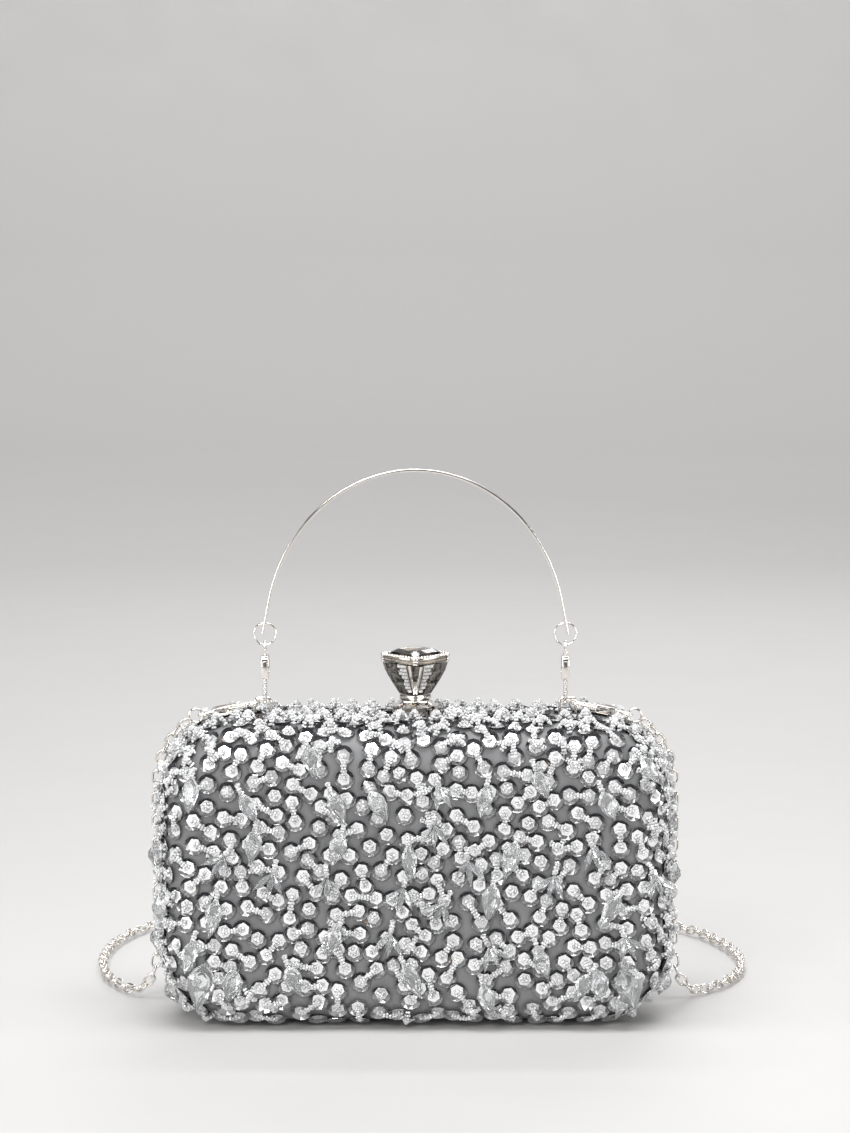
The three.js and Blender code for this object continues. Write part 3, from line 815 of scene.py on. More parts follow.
def bicone_crystal(length, width, sides=8):
    """A double cone cut in facets, along Y."""
    corners = [(0, length / 2, 0), (0, -length / 2, 0)]
    belt = 0.09  # half the plain belt's height, as a share of the length
    for level in (belt, -belt):
        for i in range(sides):
            turn = 2 * math.pi * i / sides
            corners.append((width / 2 * math.cos(turn), level * length, width / 2 * math.sin(turn)))
    faces = []
    for i in range(sides):
        j = (i + 1) % sides
        faces.append((0, 2 + j, 2 + i))
        faces.append((2 + i, 2 + j, 2 + sides + j, 2 + sides + i))
        faces.append((1, 2 + sides + i, 2 + sides + j))
    return np.array(corners), faces


class BeadWork:
    """Seed beads of one half, in thick twisted strings from sequin to sequin and in loops that stand up."""

    TURNS = 24  # differently turned beads to choose from
    LEANS = ((-1.25, 0.0, 1.25), (-0.6, 0.6))  # where beads sit round a string, row by row
    ARCH = 2.2  # how much a string's rise adds to its length

    def __init__(self, width, rng):
        self.width = width
        self.rng = rng
        self.form = Form()
        corners, self.faces = ball(width / 2, 5, 3, 0.9)
        self.shapes = []
        for _ in range(self.TURNS):
            turned = basis((rng.uniform(-1, 1), rng.uniform(-1, 1), 0.4), turn=rng.random() * 3)
            self.shapes.append(corners @ turned * rng.uniform(0.92, 1.12))

    def bead(self, place):
        """One bead, now and then a duller one."""
        shape = self.shapes[int(self.rng.random() * self.TURNS)]
        self.form.add(shape + place, self.faces, shade=self.rng.random() ** 2)

    def rope(self, start, finish, normal, low, rise, thick):
        """Beads twisted round a line that arches above the cloth from start to finish."""
        start, finish = np.asarray(start), np.asarray(finish)
        run = finish - start
        length = np.linalg.norm(run)
        count = max(2, int(round(math.hypot(length, self.ARCH * rise) / (self.width * 0.8))))
        for i in range(count + 1):
            share = i / count
            ahead = run + normal * rise * math.pi * math.cos(math.pi * share)
            ahead = ahead / np.linalg.norm(ahead)
            over = normal - ahead * normal.dot(ahead)
            over = over / np.linalg.norm(over)
            side = np.cross(over, ahead)
            middle = start + run * share + normal * (low + rise * math.sin(math.pi * share))
            reach = thick * (1.15 if min(i, count - i) < 2 else 1.0)
            for lean in self.LEANS[i % 2]:
                self.bead(middle + reach * (side * math.sin(lean) + over * math.cos(lean)))

    def loops(self, place, normal, span, rise):
        """Two crossed loops sewn down at their ends."""
        across, up, out = basis(normal, turn=self.rng.random() * math.pi)
        for direction, share in ((across, 1.0), (up * 0.8 + across * 0.35, 0.78)):
            half = direction * span / 2
            self.rope(place - half, place + half, out, self.width * 0.4, rise * share, self.width * 0.5)

    def button(self, place, normal):
        """A round knot of beads on one sequin."""
        across, up, out = basis(normal, turn=self.rng.random() * 3)
        for reach, count, lift in ((1.0, 6, 0.9), (0.45, 3, 1.5)):  # the lower and the upper round
            for i in range(count):
                turn = 2 * math.pi * i / count
                around = across * math.cos(turn) + up * math.sin(turn)
                self.bead(place + self.width * reach * around + out * self.width * lift)


def scatter_sequins(pillow, rng, spacing):
    """Sequins all over the half: well apart at first, then into the gaps that are left."""
    passes = ((1.14, 9000), (1.0, 12000), (0.92, 22000))  # share of the spacing, and tries
    spread = Spread(spacing)
    for share, tries in passes:
        for _ in range(tries):
            place, normal = pillow.random_place(rng)
            if near_fittings(place, 0.5) or place[2] < SEQUIN_FLOOR or spread.near(place, spacing * share):
                continue
            spread.keep(place, normal)
    return spread


def stands_clear(place, normal, height):
    """Whether beads of this height keep off the table and out of the fittings' way."""
    return place[2] + normal[2] * height > BEAD_FLOOR and not near_fittings(place, 1.0 + height / 3)


def pair_sequins(spread, rng, reach):
    """Neighbouring sequins joined two by two, and those left over."""
    alike, paired, choice = 0.75, 0.8, 2.5  # least likeness of facing, share paired, nearest few to pick from
    free = set(range(len(spread.places)))
    order = list(free)
    rng.shuffle(order)
    pairs = []
    for n in order:
        if n not in free:
            continue
        place, normal = spread.places[n]
        mates = [
            m for _, m in spread.near(place, reach)
            if m in free and m != n and normal.dot(spread.places[m][1]) > alike
        ]
        if mates and rng.random() < paired:
            mate = mates[min(len(mates) - 1, int(rng.random() * choice))]
            pairs.append((n, mate))
            free -= {n, mate}
    return pairs, free


def drop_places(pillow, rng, count, spacing):
    """Where crystals hang: spread over the half, more on the face than at its edges."""
    spread = Spread(spacing)
    while len(spread.places) < count:
        place, normal = pillow.random_place(rng)
        if near_fittings(place, 6.0) or place[2] < CRYSTAL_FLOOR or normal[2] > 0.75:
            continue
        spread.offer(place, normal)
    return spread.places


# ------------------------------------------------------------------ knob


def soft_square(reach, height, power, columns=72, centre=(0.0, 0.0)):
    """A row of corners round a square that points front, back, left and right."""
    row = []
    for i in range(columns):
        turn = 2 * math.pi * i / columns
        c, s = math.cos(turn), math.sin(turn)
        scale = (abs(c) ** power + abs(s) ** power) ** (-1 / power)
        row.append((centre[0] + reach * scale * c, centre[1] + reach * scale * s, height))
    return row


def turned_form(profile, power, columns, centre, form=None):
    """A closed form from pairs of reach and height."""
    form = form or Form()
    rows = [soft_square(reach, height, power, columns, centre) for reach, height in profile]
    form.add(np.array(rows).reshape(-1, 3), capped_faces(len(rows), columns))
    return form


def interpolate(pairs, share):
    """The value at a share of the way along evenly spaced values."""
    return float(np.interp(share, np.linspace(0, 1, len(pairs)), pairs))


# ------------------------------------------------------------------ chain


def smooth_line(points, steps):
    """Evenly spaced points on a centripetal spline through the given ones."""
    span_steps = 24
    points = [np.asarray(point, float) for point in points]
    points = [2 * points[0] - points[1], *points, 2 * points[-1] - points[-2]]
    fine = []
    for p0, p1, p2, p3 in zip(points, points[1:], points[2:], points[3:]):
        t1 = np.linalg.norm(p1 - p0) ** 0.5
        t2 = t1 + np.linalg.norm(p2 - p1) ** 0.5
        t3 = t2 + np.linalg.norm(p3 - p2) ** 0.5
        for t in np.linspace(t1, t2, span_steps, endpoint=False):
            a1 = (t1 - t) / t1 * p0 + t / t1 * p1
            a2 = (t2 - t) / (t2 - t1) * p1 + (t - t1) / (t2 - t1) * p2
            a3 = (t3 - t) / (t3 - t2) * p2 + (t - t2) / (t3 - t2) * p3
            b1 = (t2 - t) / t2 * a1 + t / t2 * a2
            b2 = (t3 - t) / (t3 - t1) * a2 + (t - t1) / (t3 - t1) * a3
            fine.append((t2 - t) / (t2 - t1) * b1 + (t - t1) / (t2 - t1) * b2)
    fine = np.array(fine + [points[-2]])
    run = np.concatenate([[0], np.cumsum(np.linalg.norm(np.diff(fine, axis=0), axis=1))])
    even = np.linspace(0, run[-1], steps)
    return np.stack([np.interp(even, run, fine[:, k]) for k in range(3)], axis=1), run[-1]


def oval_link(length, width, wire, steps=18, sides=8):
    """A chain link about the origin, its length along X, lying in X and Y."""
    radius = (width - wire) / 2
    straight = (length - wire) / 2 - radius
    line = []
    for i in range(steps):
        turn = 2 * math.pi * i / steps
        line.append((math.copysign(straight, math.cos(turn)) + radius * math.cos(turn),
                     radius * math.sin(turn), 0))
    return tube(line, wire / 2, sides, closed=True)


# ------------------------------------------------------------------ clasps


def upright_clasp(x):
    """The matrix that takes a clasp's own frame to the handle's side at x."""
    return Matrix.Translation((x, LEAN, BAR_HEIGHT))


def chain_clasp_place(side):
    """The matrix that lays a clasp outwards from the staple's outer leg."""
    along = Vector((side * math.cos(CHAIN_SLOPE), 0, -math.sin(CHAIN_SLOPE)))
    across = Vector((0, side, 0))
    wire = across.cross(along)
    leg = STAPLE_HIGH[0] - STAPLE_WIRE
    turn = Matrix((wire, across, along)).transposed().to_4x4()
    return Matrix.Translation((side * leg, LEAN, BAR_HEIGHT - CHAIN_HOOK_DROP)) @ turn


def moved(corners, matrix):
    """Corners taken by a matrix to their place."""
    corners = np.asarray(corners, float)
    turn = np.array(matrix.to_3x3())
    return corners @ turn.T + np.array(matrix.translation)


# A clasp in its own frame: the staple's bar at the origin, the body upwards, the trigger towards +Y.
CLASP = {
    "wire": 0.7, "hook": 2.3, "hook_centre": 0.7, "tip": 1.6, "body": (8.2, 17.0), "half_width": 3.2,
    "half_thick": 1.6, "cheek": 0.95, "pivot": (2.0, 10.0), "post": 0.5, "post_foot": 13.7,
    "eye": 1.7, "eye_wire": 0.5, "eye_height": 20.9,
}
LEVER = {"half": 0.62, "thick": 0.6, "top": 10.6, "tab": (6.6, 7.7), "tab_reach": 2.0, "edge": 0.25}
RIDGES = {"count": 5, "first": 3.4, "pitch": 0.62, "radius": 0.2}
COLLAR = {17.35: 0.6, 17.5: 0.95, 18.3: 0.95, 18.5: 0.6}  # height and radius under the swivel's eye


def clasp_body_form(place):
    """Hook and body: a cast teardrop with cheeks on both sides of the trigger's slot."""
    form = Form()
    reach, centre = CLASP["hook"], CLASP["hook_centre"]
    hook = [(0, -reach, height) for height in (CLASP["body"][0] + 1.5, 5.5, 3.0)]
    for i in range(17):
        turn = math.pi + math.pi * i / 16
        hook.append((0, reach * math.cos(turn), centre + reach * math.sin(turn)))
    hook.append((0, reach, CLASP["tip"]))
    line, _ = smooth_line(hook, 96)
    ridged = (line[:, 1] < -1.9) & (line[:, 2] > 1.5)
    radii = CLASP["wire"] * (1.0 + 0.16 * ridged * (1 + np.sin(line[:, 2] * 7.0)))
    form.put(tube(line, radii, 12), place)
    low, high = CLASP["body"]
    half, thick, cheek = CLASP["half_width"], CLASP["half_thick"], CLASP["cheek"]
    blocks = [
        ((-thick, -half, low - 0.2), (thick, 0.4, high - 0.8), 0.4),  # the back
        ((-thick, -half + 0.5, 11.4), (thick, half - 0.5, high), 0.45),  # the broad upper part
        ((-thick, 0.0, low), (-cheek, half, high - 1.2), 0.28),  # the two cheeks
        ((cheek, 0.0, low), (thick, half, high - 1.2), 0.28),
        ((-0.9, -half - 0.14, low + 1.0), (0.9, -half + 0.3, high - 2.0), 0.12),  # a raised panel
    ]
    for a, b, edge in blocks:
        form.put(rounded_block(a, b, edge), place)
    for height in (high - 0.5, high - 1.5):
        groove = ring_points((0, 0, height), 1.35, (1, 0, 0), (0, 1, 0), 28)
        form.put(tube(groove, 0.35, 8, closed=True), place)
    pivot_y, pivot_z = CLASP["pivot"]
    rivet = [(-thick - 0.12, pivot_y, pivot_z), (thick + 0.12, pivot_y, pivot_z)]
    form.put(tube(rivet, 0.5, 16), place)
    return form


def trigger_form(place):
    """The sprung lever with its ridged back and thumb tab."""
    form = Form()
    middle = CLASP["hook"]
    half, thick, edge = LEVER["half"], LEVER["thick"], LEVER["edge"]
    low, high = (-half, middle - thick, CLASP["tip"] + 0.3), (half, middle + thick, LEVER["top"])
    form.put(rounded_block(low, high, edge), place)
    foot, head = LEVER["tab"]
    form.put(rounded_block((-half, middle, foot), (half, middle + LEVER["tab_reach"], head), edge), place)
    for i in range(RIDGES["count"]):
        height = RIDGES["first"] + RIDGES["pitch"] * i
        ridge = [(-half, middle + thick, height), (half, middle + thick, height)]
        form.put(tube(ridge, RIDGES["radius"], 8), place)
    return form


def swivel_form(place):
    """Post, ball and eye."""
    form = Form()
    eye = CLASP["eye_height"]
    form.put(tube([(0, 0, CLASP["post_foot"]), (0, 0, eye - CLASP["eye"])], CLASP["post"], 16), place)
    form.put(tube([(0, 0, height) for height in COLLAR], np.array(list(COLLAR.values())), 16), place)
    ring = ring_points((0, 0, eye), CLASP["eye"], (0, 1, 0), (0, 0, 1), 36)
    form.put(tube(ring, CLASP["eye_wire"], 10, closed=True), place)
    return form


# ------------------------------------------------------------------ operators


def sizes_of(context):
    """The sizes that a user may change."""
    return context.scene.evening_bag_sizes


def colours_of(context):
    """The colours that a user may change."""
    return context.scene.evening_bag_colours


def finish_nodes(material, *names):
    """Gives frame parts that keep their shape a finish."""
    for name in names:
        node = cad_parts[name]
        for slot in node.material_slots:
            slot.link = "OBJECT"
            slot.material = bpy.data.materials[material]


class EVENINGBAG_OT_finishes(bpy.types.Operator):
    """Make the bag's finishes"""

    bl_idname = "evening_bag.finishes"
    bl_label = "Finishes"

    def execute(self, context):
        build_materials(colours_of(context))
        return {"FINISHED"}


class EVENINGBAG_OT_stage(bpy.types.Operator):
    """Lay the pale floor, hang the soft lights and set the camera"""

    bl_idname = "evening_bag.stage"
    bl_label = "Floor, lights and camera"

    def execute(self, context):
        self.floor()
        self.lights(context)
        self.camera(context)
        return {"FINISHED"}

    def floor(self):
        """A sheet of paper that curves up behind the bag."""
        half_width, below = 3500, 0.1
        curve = [(-3000, 0), (1500, 0), (2000, 40), (2400, 200), (2650, 500), (2750, 900), (2780, 2600)]
        rows = [[(x, y, z - below) for x in (-half_width, half_width)] for y, z in curve]
        form = Form()
        faces = [face[::-1] for face in grid_faces(len(rows), 2, closed=False)]
        form.add(np.array(rows).reshape(-1, 3), faces)
        mesh = form.mesh("studio_floor")
        mesh.polygons.foreach_set("use_smooth", [True] * len(mesh.polygons))
        floor = bpy.data.objects.new("studio_floor", mesh)
        bpy.context.scene.collection.objects.link(floor)
        mesh.materials.append(bpy.data.materials["studio_paper"])

    def lights(self, context):
        """Large softboxes and strips: each with its place, aim, size in metres and power in watts."""
        world = bpy.data.worlds.new("studio_air")
        world.use_nodes = True
        air = world.node_tree.nodes["Background"]
        air.inputs["Color"].default_value = (0.56, 0.56, 0.565, 1)
        air.inputs["Strength"].default_value = 0.3
        context.scene.world = world
        softboxes = [
            ("top_softbox", (0.0, -0.25, 1.15), (0, 0.02, 0.08), (1.0, 0.5), 13.5),
            ("front_softbox", (-0.45, -1.4, 0.95), (0, 0, 0.08), (0.6, 0.5), 12.0),
            ("low_softbox_left", (-0.75, -1.1, 0.22), (0, 0, 0.06), (0.5, 0.36), 3.5),
            ("low_softbox_right", (0.75, -1.1, 0.22), (0, 0, 0.06), (0.5, 0.36), 3.5),
            ("backdrop_softbox", (0.0, 1.3, 2.4), (0, 2.7, 0.7), (2.4, 0.5), 46.0),
            ("left_strip", (-1.25, -0.2, 0.45), (0, 0, 0.10), (0.25, 1.0), 5.0),
            ("right_strip", (1.25, -0.1, 0.45), (0, 0, 0.10), (0.25, 1.0), 5.0),
            ("back_strip", (0.3, 1.2, 0.9), (0, 0, 0.12), (1.0, 0.3), 5.0),
        ]
        for name, place, aim, size, power in softboxes:
            light = bpy.data.lights.new(name, "AREA")
            light.shape = "RECTANGLE"
            light.size, light.size_y = size
            light.energy = power
            box = bpy.data.objects.new(name, light)
            context.scene.collection.objects.link(box)
            box.location = place
            box.rotation_euler = (Vector(aim) - Vector(place)).to_track_quat("-Z", "Y").to_euler()

    def camera(self, context):
        """A long lens from a little above the bag, aimed over it so that it stands low in the picture."""
        rise, distance, middle = math.radians(11.0), 1.6, 0.062  # the last two in metres
        dip, swing = math.radians(6.84), math.radians(0.14)
        data = bpy.data.cameras.new("camera")
        data.sensor_fit = "VERTICAL"
        data.sensor_height = 36
        data.lens = 128
        data.clip_start = 0.05
        eye = bpy.data.objects.new("camera", data)
        context.scene.collection.objects.link(eye)
        eye.location = (0, -distance * math.cos(rise), middle + distance * math.sin(rise))
        eye.rotation_euler = (math.pi / 2 - dip, 0, -swing)
        context.scene.camera = eye
        context.scene.view_settings.view_transform = "Standard"


class EVENINGBAG_OT_chain(bpy.types.Operator):
    """Lay the chain strap link by link along its route"""

    bl_idname = "evening_bag.chain"
    bl_label = "Chain strap"

    ROLLS = (112, 22)  # degrees; each link stands across the last
    ROLL_PLAY = 12
    PATH_POINTS = 400

    def execute(self, context):
        sizes = sizes_of(context)
        length, width, wire = (v / MM for v in (sizes.link_length, sizes.link_width, sizes.link_wire))
        route = np.array(STRAP) / MM
        _, total = smooth_line(route, 8)
        pitch = length - 2 * wire
        count = int(round(total / pitch))
        places, total = smooth_line(route, count + 1)
        line, _ = smooth_line(route, self.PATH_POINTS)
        corners, faces = oval_link(length, width, wire)
        rng = random.Random(5)
        form = Form()
        side = np.array((0.0, 1.0, 0.0))
        for i in range(count):
            ahead = places[i + 1] - places[i]
            ahead /= np.linalg.norm(ahead)
            side = side - ahead * side.dot(ahead)
            side /= np.linalg.norm(side)
            up = np.cross(ahead, side)
            roll = math.radians(self.ROLLS[i % 2] + rng.uniform(-self.ROLL_PLAY, self.ROLL_PLAY))
            across = side * math.cos(roll) + up * math.sin(roll)
            turn = np.array((ahead, across, np.cross(ahead, across)))
            form.add(corners @ turn + (places[i] + places[i + 1]) / 2, faces)
        chain = form.piece("chain_links", "back_half", "chain_metal", "chain_plating", smooth=60)
        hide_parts("chain_strap")
        return {"FINISHED"}


class EVENINGBAG_OT_covers(bpy.types.Operator):
    """Stretch satin over both halves"""

    bl_idname = "evening_bag.covers"
    bl_label = "Satin covers"

    THICKNESS = 0.45
    FLAT = (0.240, 0.161)  # the cloth of one half before it is stretched, in metres

    def execute(self, context):
        inset = sizes_of(context).satin_inset / MM
        for half, side in HALVES.items():
            cloth = skin_form(side, inset, self.THICKNESS).piece(
                f"{half}_satin", f"{half}_half", "beaded_satin", "grey_satin", smooth=50
            )
            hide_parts(f"{half}_beaded_cover")
        return {"FINISHED"}


class EVENINGBAG_OT_linings(bpy.types.Operator):
    """Line both halves and finish the moulded shells"""

    bl_idname = "evening_bag.linings"
    bl_label = "Linings and shells"

    THICKNESS = 0.6
    FLAT = (0.230, 0.151)

    def execute(self, context):
        inset = cad_box("back_lining")[0][2]
        for half, side in HALVES.items():
            lining = skin_form(side, inset, self.THICKNESS).piece(
                f"{half}_lining_cloth", f"{half}_half", "lining_satin", "lining_satin", smooth=50
            )
            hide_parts(f"{half}_lining")
        finish_nodes("moulded_board", "front_shell", "back_shell")
        return {"FINISHED"}


class EVENINGBAG_OT_beading(bpy.types.Operator):
    """Sew the sequins, seed beads and crystals on both halves"""

    bl_idname = "evening_bag.beading"
    bl_label = "Sequins, beads and crystals"

    SEED = 17
    PAIR_REACH = 1.5  # sequins this many spacings apart may share a string
    TIP = 0.13  # how far a sequin leans
    # A painted warm glint: the share of sequins that get it, how many faces it covers, and its strength.
    WARM_SHARE, WARM_FACES, WARMTH = 0.08, 4, 0.6
    MOUND_SPACING, MOUND_TRIES = 7.0, 6000
    MOUND_LEAST, MOUND_CLEAR = 0.006, 5.0  # chance of a mound on the flat face, and the height it needs
    DROPS, DROP_SPACING = 46, 13.5
    FAN_LEANS = (-0.62, 0.0, 0.58)
    FACE_RIM = 0.35  # below this a place is on the flat face

    def execute(self, context):
        sizes = sizes_of(context)
        for half, side in HALVES.items():
            self.sew(half, side, sizes)
        return {"FINISHED"}

    def sew(self, half, side, sizes):
        """Everything that is sewn to one half."""
        rng = random.Random(self.SEED + side)
        pillow = Pillow(side, sizes.satin_inset / MM)
        body = f"{half}_half"
        spread = scatter_sequins(pillow, rng, sizes.sequin_spacing / MM)
        self.sequins(spread, sizes.sequin_width / MM, rng).piece(
            f"{half}_sequins", body, "sequin_silver", "sequin_foil"
        )
        strings = BeadWork(sizes.bead_width / MM, rng)
        pairs, alone = pair_sequins(spread, rng, self.PAIR_REACH * sizes.sequin_spacing / MM)
        for a, b in pairs:
            (start, out_a), (finish, out_b) = spread.places[a], spread.places[b]
            normal = (out_a + out_b) / np.linalg.norm(out_a + out_b)
            rise = 0.3 + 1.1 * rng.random()
            if all(stands_clear(spot, normal, 3.6) for spot in (start, finish, (start + finish) / 2)):
                strings.rope(start, finish, normal, 0.7, rise, 0.8)
        for n in sorted(alone):
            if stands_clear(*spread.places[n], 2.6):
                strings.button(*spread.places[n])
        strings.form.piece(f"{half}_bead_strings", body, "seed_bead", "silver_lined_glass")
        knots = BeadWork(sizes.bead_width / MM, rng)
        self.mounds(knots, pillow, rng)
        crystals = self.crystals(knots, pillow, rng, sizes.drop_length / MM)
        knots.form.piece(f"{half}_bead_loops", body, "seed_bead", "silver_lined_glass")
        crystals.piece(f"{half}_crystals", body, "crystal", "icy_crystal")

    def sequins(self, spread, width, rng):
        """Sequins lying a little tipped, with painted shade on their walls, a few with a painted warm glint
        on the rim.
        """
        form = Form()
        corners, faces, parts = cup_sequin(width)
        for place, normal in spread.places:
            tipped = normal + np.array([rng.uniform(-self.TIP, self.TIP) for _ in range(3)])
            turned = basis(tipped, turn=rng.random() * math.pi)
            warm = [0.0] * len(faces)
            if rng.random() < self.WARM_SHARE:
                first = int(rng.random() * len(faces))
                lit = range(first, first + self.WARM_FACES)
                warm = [self.WARMTH if i in lit else 0.0 for i in range(len(faces))]
            placed = corners @ turned + place + normal * 0.12
            # The first mark is painted shade on each sequin's foil, darkest high on its wall; the second
            # paints a warm glint on a few faces.
            form.add(placed, faces, wall=painted_foil_shades(placed, faces, parts), warm=warm)
        return form

    def mounds(self, work, pillow, rng):
        """Loops of beads, closest together along the top and the outline."""
        spread = Spread(self.MOUND_SPACING)
        for _ in range(self.MOUND_TRIES):
            place, normal = pillow.random_place(rng)
            rim = 1 - abs(normal[1])
            chance = self.MOUND_LEAST + (1 - self.MOUND_LEAST) * rim**2
            if rng.random() < chance and stands_clear(place, normal, self.MOUND_CLEAR):
                spread.offer(place, normal)
        for place, normal in spread.places:
            rim = 1 - abs(normal[1])
            span = 5.2 + 1.4 * rng.random()
            rise = 1.6 + (1.4 + 1.3 * rng.random()) * rim
            work.loops(place, normal, span, rise)

    def crystals(self, work, pillow, rng, length):
        """Leaves and fans on the face, double cones along the sides, kites at the lower corners."""
        form = Form()
        for place, normal in drop_places(pillow, rng, self.DROPS, self.DROP_SPACING):
            if not stands_clear(place - np.array((0, 0, length * 0.6)), normal, 6.0):
                continue
            rim = 1 - abs(normal[1])
            turn = rng.uniform(-0.6, 0.6)
            along = basis(normal, turn=turn)
            lift = 3.0 + 0.6 * rng.random()
            chance = rng.random()
            if rim < self.FACE_RIM and chance < 0.4:
                for lean in self.FAN_LEANS:
                    ray = basis(normal + along[1] * 0.1, turn=turn + lean)
                    corners, faces = bicone_crystal(length * rng.uniform(0.62, 0.78), 2.5, sides=6)
                    hung = corners - np.array((0, length * 0.36, 0))
                    form.add(hung @ ray + place + normal * lift, faces)
            else:
                if rim < self.FACE_RIM or chance < 0.3:
                    tall = length * rng.uniform(0.85, 1.12)
                    corners, faces = leaf_crystal(tall, rng.uniform(6.0, 7.6), 3.0)
                else:
                    corners, faces = bicone_crystal(length * rng.uniform(0.68, 0.85), 6.4)
                hung = corners - np.array((0, length * 0.3, 0))
                form.add(hung @ along + place + normal * lift, faces)
            work.rope(place + along[1] * 4.2, place + along[1] * 0.4, normal, 1.2, 1.4, 0.6)
        self.kites(form, pillow)
        return form

    def kites(self, form, pillow):
        """A large kite round each lower corner, with a smaller one beside it."""
        corner = math.pi * pillow.radius / 2
        right, left = 2 * pillow.flat_x + corner / 2, pillow.around - corner / 2
        thick, lift, raised = 4.2, 3.4, np.array((0, 0, 3.0))
        kinds = ((0.0, 31.0, 19.0, 11.5), (-17.0, 36.0, 14.0, 8.0))  # shift, depth, length and width
        for spot, way in ((right, 1), (left, -1)):
            for shift, depth, length, width in kinds:
                place, normal = pillow.at(spot + shift * way, depth)
                facing = normal * np.array((0.5, 1.0, 0.1))
                along = basis(facing, turn=0.3 * way * pillow.side * -0.6)
                corners, faces = leaf_crystal(length, width, thick)
                form.add(corners @ along + place + normal * lift + raised, faces)


class EVENINGBAG_OT_frames(bpy.types.Operator):
    """Polish the two frame rims, the hinge and the latch's parts"""

    bl_idname = "evening_bag.frames"
    bl_label = "Frames, hinge and latch"

    def execute(self, context):
        finish_nodes(
            "silver_plating", "front_frame", "back_frame", "rear_hinge_leaf", "front_hinge_leaf",
            "hinge_pin", "latch_pin", "latch_spring", "catch_plate", "latch_base", "latch_stem",
        )
        return {"FINISHED"}


class EVENINGBAG_OT_knob(bpy.types.Operator):
    """Build the jewelled knob: collar, basket, girdle, prongs and crystal"""

    bl_idname = "evening_bag.knob"
    bl_label = "Jewelled knob"

    SQUARENESS = 1.14
    COLUMNS = 72
    BASKET = [6.2, 8.3, 10.2, 11.9, 12.9]  # reach at even heights
    COLLAR_EDGE = 0.35
    FOOT = [(6.5, -1.5), (6.9, -1.2), (5.7, -0.5), (5.4, -0.05)]  # reach, and height from the collar
    # Each strut: where it starts and ends round the basket, its two heights as shares, and its radius.
    STRUTS = [(0.06, 0.20, 0.06, 0.98, 0.66), (0.03, 0.06, 0.1, 0.5, 0.5), (0.22, 0.36, 0.1, 0.98, 0.26)]
    PAVE_ROWS = 8
    STONE, CLAW = 0.62, 0.24
    # The girdle's wall from the bottom up: how far in, and its height as a share.
    BANDS = [
        (-1.0, 0.0), (-0.5, 0.06), (-0.4, 0.16), (-0.9, 0.22), (-0.9, 0.3), (-0.3, 0.36), (-0.25, 0.46),
        (-0.75, 0.52), (-0.75, 0.58), (0.0, 0.66), (-0.05, 0.76), (-0.5, 0.8), (-1.9, 0.8),
    ]
    RIM_BEADS, RIM_BEAD = 48, 0.68
    CRYSTAL_SIDES = 16
    FOIL = [(11.5, -1.3), (11.5, -1.15), (6.0, -2.2), (1.0, -1.2)]  # reach, and height from the seat

    def execute(self, context):
        low, high = cad_box("knob_girdle")
        self.centre = ((low[0] + high[0]) / 2, (low[1] + high[1]) / 2)
        self.reach = (high[0] - low[0]) / 2
        self.collar()
        self.basket()
        self.girdle()
        self.crystal()
        return {"FINISHED"}

    def collar(self):
        """The square collar and the foot under it."""
        low, high = cad_box("knob_collar")
        reach, edge = (high[0] - low[0]) / 2, self.COLLAR_EDGE
        profile = [
            (reach - edge, low[2]), (reach, low[2] + edge),
            (reach, high[2] - edge), (reach - edge, high[2]),
        ]
        form = turned_form(profile, self.SQUARENESS, self.COLUMNS, self.centre)
        foot = [(spread, low[2] + height) for spread, height in self.FOOT]
        turned_form(foot, 7.0, self.COLUMNS, (self.centre[0], self.centre[1] - 1.0), form)
        piece = form.piece("knob_collar_turned", "knob", "silver_metal", "silver_plating", smooth=40)
        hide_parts("knob_collar")

    def on_basket(self, turn, share, lift=0.0):
        """A place on the basket's wall."""
        low, high = cad_box("knob_basket")
        reach = interpolate(self.BASKET, share) + lift
        c, s = math.cos(turn), math.sin(turn)
        scale = (abs(c) ** self.SQUARENESS + abs(s) ** self.SQUARENESS) ** (-1 / self.SQUARENESS)
        height = low[2] + (high[2] - low[2]) * share
        return np.array((self.centre[0] + reach * scale * c, self.centre[1] + reach * scale * s, height))

    def basket(self):
        """The smoky cup with its struts and pave stones."""
        low, high = cad_box("knob_basket")
        shares = np.linspace(0, 1, 13)
        profile = [(interpolate(self.BASKET, s), low[2] + (high[2] - low[2]) * s) for s in shares]
        cup = turned_form(profile, self.SQUARENESS, self.COLUMNS, self.centre)
        cup_piece = cup.piece("knob_basket_cup", "knob", "silver_metal", "smoky_plating", smooth=40)
        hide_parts("knob_basket")
        struts, stones = Form(), Form()
        for corner in (-math.pi / 2, math.pi / 2):
            for way in (-1, 1):
                self.struts(struts, corner, way)
                self.pave(struts, stones, corner, way)
        struts.piece("knob_struts", "knob", "silver_metal", "silver_plating", smooth=50)
        stones.piece("knob_pave_stones", "knob", "crystal", "silver_lined_glass")

    def struts(self, form, corner, way):
        """A stout V from the foot of the corner, a short one in it, and a thin line beside it."""
        points, lift = 12, 0.22
        for near, far, first, last, radius in self.STRUTS:
            line = []
            for share in np.linspace(first, last, points):
                line.append(self.on_basket(corner + way * (near + (far - near) * share), share, lift))
            form.add(*tube(line, np.linspace(radius * 0.7, radius, points), 10))

    def pave(self, settings, stones, corner, way):
        """Small stones set in rows between the strut and the plain panel."""
        for row in range(self.PAVE_ROWS):
            share = 0.13 + 0.82 * row / (self.PAVE_ROWS - 1)
            columns = 2 + (row % 3 > 0) + (share > 0.6)
            start = 0.24 + 0.10 * share
            for column in range(columns):
                turn = corner + way * (start + 0.085 + 0.10 * column)
                spot = self.on_basket(turn, share, 0.12)
                corners, faces = ball(self.STONE, 8, 4)
                stones.add(corners + spot, faces, shade=0.1 + 0.5 * ((row + column) % 2))
                prong = self.on_basket(turn + way * 0.05, share + 0.055, 0.25)
                corners, faces = ball(self.CLAW, 6, 4)
                settings.add(corners + prong, faces)

